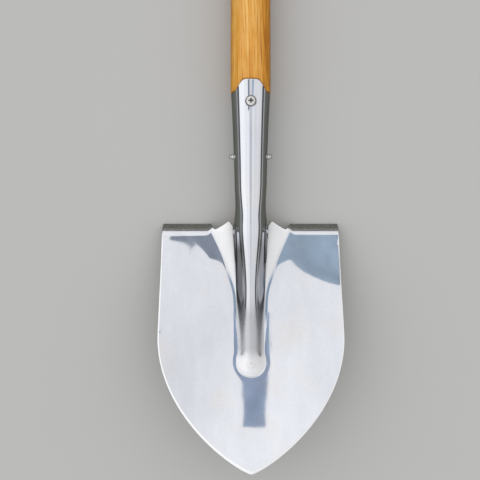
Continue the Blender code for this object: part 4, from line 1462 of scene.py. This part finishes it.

# %% [markdown]
# The steel is one colour, mixed in turn with a warmer one in patches, with brighter metal painted
# on the wings as a painted highlight, with a blue-grey painted reflection in a band round the
# frog's foot, the ground bevel, the scuffs, the painted shade on the ridge's flanks and last the
# painted shade in the fold and round the screw. The marks that are stored with the sheet say where.
# The left flank of the ridge is painted darker than the right one.

# %% Polish the steel
def make_steel():
    """The sheet's finish: colour is tone times steel, mixed with each mark's own colour by how much
    of it there is, and roughness is the satin's own plus what each mark adds."""
    material, bench, shader = new_finish("satin_stainless")
    place = shovel_place(bench)
    bevel = mark(bench, "ground").between(0.02, 0.06)
    hair_lines = bench.noise(place, (2600, 60, 2600))
    cross_lines = bench.noise(place, (500, 2600, 500))
    patches = bench.noise(place, 22.0, 3.0)
    waves = bench.noise(place, 16.0, 1.0)
    dints = bench.noise(place, 60.0, 1.0)
    specks = bench.noise(place, 300.0, 3.0)
    smears = bench.noise(place, (90, 9, 90), 3.0)
    warmth = bench.noise(place, 26.0)
    scratches = bench.noise(place, (260, 2200, 900), 3.0)

    right = bench.split(place)[0].between(-0.004, 0.004)
    # Painted shade: a dark line in the fold, weaker on the right, and a dark ring round the screw's
    # head.
    painted_shade = mark(bench, "fold") * (0.26 + specks.between(0.3, 0.7) * 0.36) * (1.0 - right * 0.5)
    all_painted_shade = painted_shade + screw_ring_shade(bench, place) * specks.between(0.25, 0.5) * 0.8
    along = mark(bench, "along")
    # Painted shade on the ridge's flanks, darker on the left flank than on the right.
    left_flank_shade = (1.0 - right) * along.between(*LEFT_FLANK_SHADE) * 0.4
    film = mark(bench, "film") * (0.45 + patches * 0.5 - right * 0.2 + left_flank_shade)
    # Painted reflection: a narrow blue-grey band just outside the frog's foot, part way down the
    # blade.
    foot = mark(bench, "past_foot")
    past_band = foot.between(FOOT_BAND - BAND_FADE, FOOT_BAND + BAND_FADE)
    band = foot.between(0.0, BAND_FADE) * (1.0 - past_band)
    band = band * along.between(*BAND_START) * (1.0 - along.between(*BAND_END))
    rubbed = mark(bench, "rubbed") * (0.7 + patches * 0.6)
    scuffs = mark(bench, "scuffed") * (0.55 + scratches.between(0.35, 0.65) * 0.4)

    # Painted highlight: the wings are brighter and whiter in colour and tone, the right wing most.
    wing, corner = mark(bench, "wing"), mark(bench, "corner")
    tone = patches * 0.14 + smears * 0.14 + specks * 0.07 + hair_lines * 0.05 + STEEL_TONE
    # Painted shade: the wing's corner by the ridge is made much darker.
    tone = tone - rubbed * 0.28 + wing * (0.05 + right * 0.08) - corner * 0.62
    colour = bench.mix(warmth.between(0.5, 0.72) * 0.5, STEEL_COLOUR, WARM_COLOUR)
    colour = bench.scaled(bench.mix(wing * 0.8, colour, WING_HIGHLIGHT_COLOUR), tone)
    layers = [
        (band, BLUE_REFLECTION_COLOUR),
        (bevel * 0.8, GROUND_COLOUR),
        (scuffs, SCUFF_COLOUR),
        (film, FLANK_SHADE_COLOUR),
        (all_painted_shade, PAINTED_SHADE_COLOUR),
    ]
    for amount, layer_colour in layers:
        colour = bench.mix(amount, colour, layer_colour)
    bench.feed(shader.inputs["Base Color"], colour)
    satin = SATIN + (hair_lines - 0.5) * 0.04 + (patches - 0.5) * 0.04
    worn = bevel * (0.18 + (cross_lines - 0.5) * 0.3) + band * 0.12 + scuffs * 0.42 + film * 0.1
    bench.feed(shader.inputs["Roughness"], satin + (worn + all_painted_shade * 0.4 + rubbed * 0.24))
    shader.inputs["Metallic"].default_value = 1.0
    relief = waves * 0.30 + dints * 0.03 + hair_lines * 0.0008 + bevel * cross_lines * 0.003
    relief = relief + scuffs * scratches * 0.01
    bench.feed(shader.inputs["Normal"], bench.bump(relief, STEEL_RELIEF))
    return material


satin_stainless = make_steel()
print("steel nodes:", len(satin_stainless.node_tree.nodes))

# %% [markdown]
# Screw, pins and washers are plated steel, a little yellower and duller than the sheet, with fine
# turning rings that the bump of a high noise stands for, and painted shade in the screw's cross
# recess and round its head's rim.

# %% Plate the fastenings
PLATE_COLOUR = (0.66, 0.655, 0.64)
DULL_PLATE_COLOUR = (0.42, 0.41, 0.39)
PLATE_RELIEF = 0.00002


def make_plating():
    """The fastenings' finish: plating mixed with its duller colour in blotches, then with painted
    shade in the screw's cross recess and on its head's rim. Both add to its roughness."""
    material, bench, shader = new_finish("plated_steel")
    place = shovel_place(bench)
    grain = bench.noise(place, 2400.0)
    blotches = bench.noise(place, 260.0, 3.0)
    dull = blotches.between(0.5, 0.75)
    plate = bench.mix(dull * 0.5, PLATE_COLOUR, DULL_PLATE_COLOUR)
    # Painted shade in the screw's cross recess and round its head's rim.
    painted_shade = mark(bench, "hollow") * (0.7 + blotches * 0.4)
    bench.feed(shader.inputs["Base Color"], bench.mix(painted_shade, plate, PAINTED_SHADE_COLOUR))
    bench.feed(shader.inputs["Roughness"], 0.22 + dull * 0.2 + (grain - 0.5) * 0.1 + painted_shade * 0.3)
    shader.inputs["Metallic"].default_value = 1.0
    bench.feed(shader.inputs["Normal"], bench.bump(grain, PLATE_RELIEF))
    return material


plated_steel = make_plating()
print("plating nodes:", len(plated_steel.node_tree.nodes))

# %% [markdown]
# ## Lacquered ash
#
# Ash has strong growth layers: each year starts with a row of open pores and ends in dense, smooth
# wood. A shaft is sawn from a trunk far thicker than itself, so inside it the layers are nearly
# flat sheets. Where they meet the round surface they draw long arches on two sides and straight
# lines on the other two. The pattern is one slow distance through those sheets, bent by noise and
# cut into years; pores are noise drawn out along the shaft; the shaft is browner on its right
# side, and the grip all over; and an amber lacquer lies over all of it.

# %% Grow the ash
YEAR = 0.0026
LAYER_TURN = math.radians(24.0)
LAYER_RISE = 0.006
LAYER_BEND = 0.011
LAYER_WOBBLE = 0.0011
WANDER = 0.010
BROWN_SIDE = (0.008, 0.020)
WOOD_STOPS = [
    (0.0, (0.26, 0.075, 0.003)),
    (0.35, (0.53, 0.182, 0.005)),
    (0.62, (0.76, 0.335, 0.030)),
    (1.0, (0.93, 0.565, 0.155)),
]
PORE_COLOUR = (0.20, 0.060, 0.006)
WOOD_TONE = 0.69
WOOD_RELIEF = 0.00012


def make_ash(name, along_axis):
    """The finish for a piece whose grain runs along y (the shaft) or along x (the grip). A year is
    the fraction of the distance through the layers over a year's thickness: early wood at its
    start, late wood at its end."""
    material, bench, shader = new_finish(name)
    place = shovel_place(bench)
    x, y, z = bench.split(place)
    along, across = (y, mark(bench, "before_parting")) if along_axis == "y" else (x, y)
    grain_place = bench.node("ShaderNodeCombineXYZ", None, {0: across, 1: along, 2: z})
    bend = bench.noise(grain_place, (30, 3.2, 30))
    wander = across + (bend - 0.5) * WANDER
    grain_place = bench.node("ShaderNodeCombineXYZ", None, {0: wander, 1: along, 2: z})
    wobble = bench.noise(grain_place, (220, 9, 220))
    layers = across * math.cos(LAYER_TURN) + z * math.sin(LAYER_TURN) + along * LAYER_RISE
    # Browner on the shaft's right side and over the whole grip.
    browner_wood = wander.between(*BROWN_SIDE)
    layers = layers + (bend - 0.5) * LAYER_BEND + (wobble - 0.5) * LAYER_WOBBLE
    season = (layers / YEAR).fraction()
    early = 1.0 - season.between(0.0, 0.45)
    late = season.between(0.55, 1.0)
    pores = bench.noise(grain_place, (1500, 45, 1500), 1.0)
    pore_marks = pores.between(0.56, 0.66) * (early * 0.85 + 0.15)
    fibres = bench.noise(grain_place, (700, 24, 700), 3.0)
    streaks = bench.noise(grain_place, (110, 3.5, 110))
    drift = bench.noise(grain_place, (14, 3.0, 14), 1.0)
    flecks = bench.noise(grain_place, (420, 48, 420))
    light = WOOD_TONE
    for noise, amount in ((fibres, 0.55), (streaks, 0.70), (drift, 0.50), (flecks, 0.60)):
        light = light + (noise - 0.5) * amount
    light = light - early * 0.16 + late * 0.05 - browner_wood * 0.31
    wood = bench.node("ShaderNodeValToRGB", {"stops": WOOD_STOPS}, {0: light})
    bench.feed(shader.inputs["Base Color"], bench.mix(pore_marks * 0.6, wood, PORE_COLOUR))
    bench.feed(shader.inputs["Roughness"], 0.42 + (fibres - 0.5) * 0.2 - late * 0.06)
    shader.inputs["Specular IOR Level"].default_value = 0.3
    shader.inputs["Coat Weight"].default_value = 0.55
    shader.inputs["Coat Roughness"].default_value = 0.16
    relief = pore_marks * -0.5 + fibres * 0.25 + wobble * 0.2
    bench.feed(shader.inputs["Normal"], bench.bump(relief, WOOD_RELIEF))
    return material


shaft_ash = make_ash("lacquered_ash_shaft", "y")
grip_ash = make_ash("lacquered_ash_grip", "x")
print("ash nodes:", len(shaft_ash.node_tree.nodes))

# %% [markdown]
# ## Putting the shovel together
#
# Every fine piece stands for a node of the packed model, rides with its one body and takes one of
# the finishes made above. Smooth shading is kept apart along real edges, so that the ground edge
# stays crisp.

# %% Dress the shovel
SHARP_ANGLE = math.radians(28.0)
HEAD_SHARP_ANGLE = math.radians(13.0)


def dress(thing, node, material, sharp=SHARP_ANGLE):
    """Gives a piece its finish and smooth shading, hangs it on the root body and hides the node
    that it stands for.
    """
    thing.data.materials.append(material)
    thing.data.shade_smooth()
    thing.data.set_sharp_from_angle(angle=sharp)
    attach(thing, "root")
    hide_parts(node)


dress(head, "head", satin_stainless, HEAD_SHARP_ANGLE)
dress(shaft, "shaft", shaft_ash)
dress(grip, "grip", grip_ash)
for node, piece in steel_pieces.items():
    dress(piece, node, plated_steel)
pieces = [head, shaft, grip, *steel_pieces.values()]
triangles = sum(len(face.vertices) - 2 for piece in pieces for face in piece.data.polygons)
print("triangles in all:", triangles)

# %% [markdown]
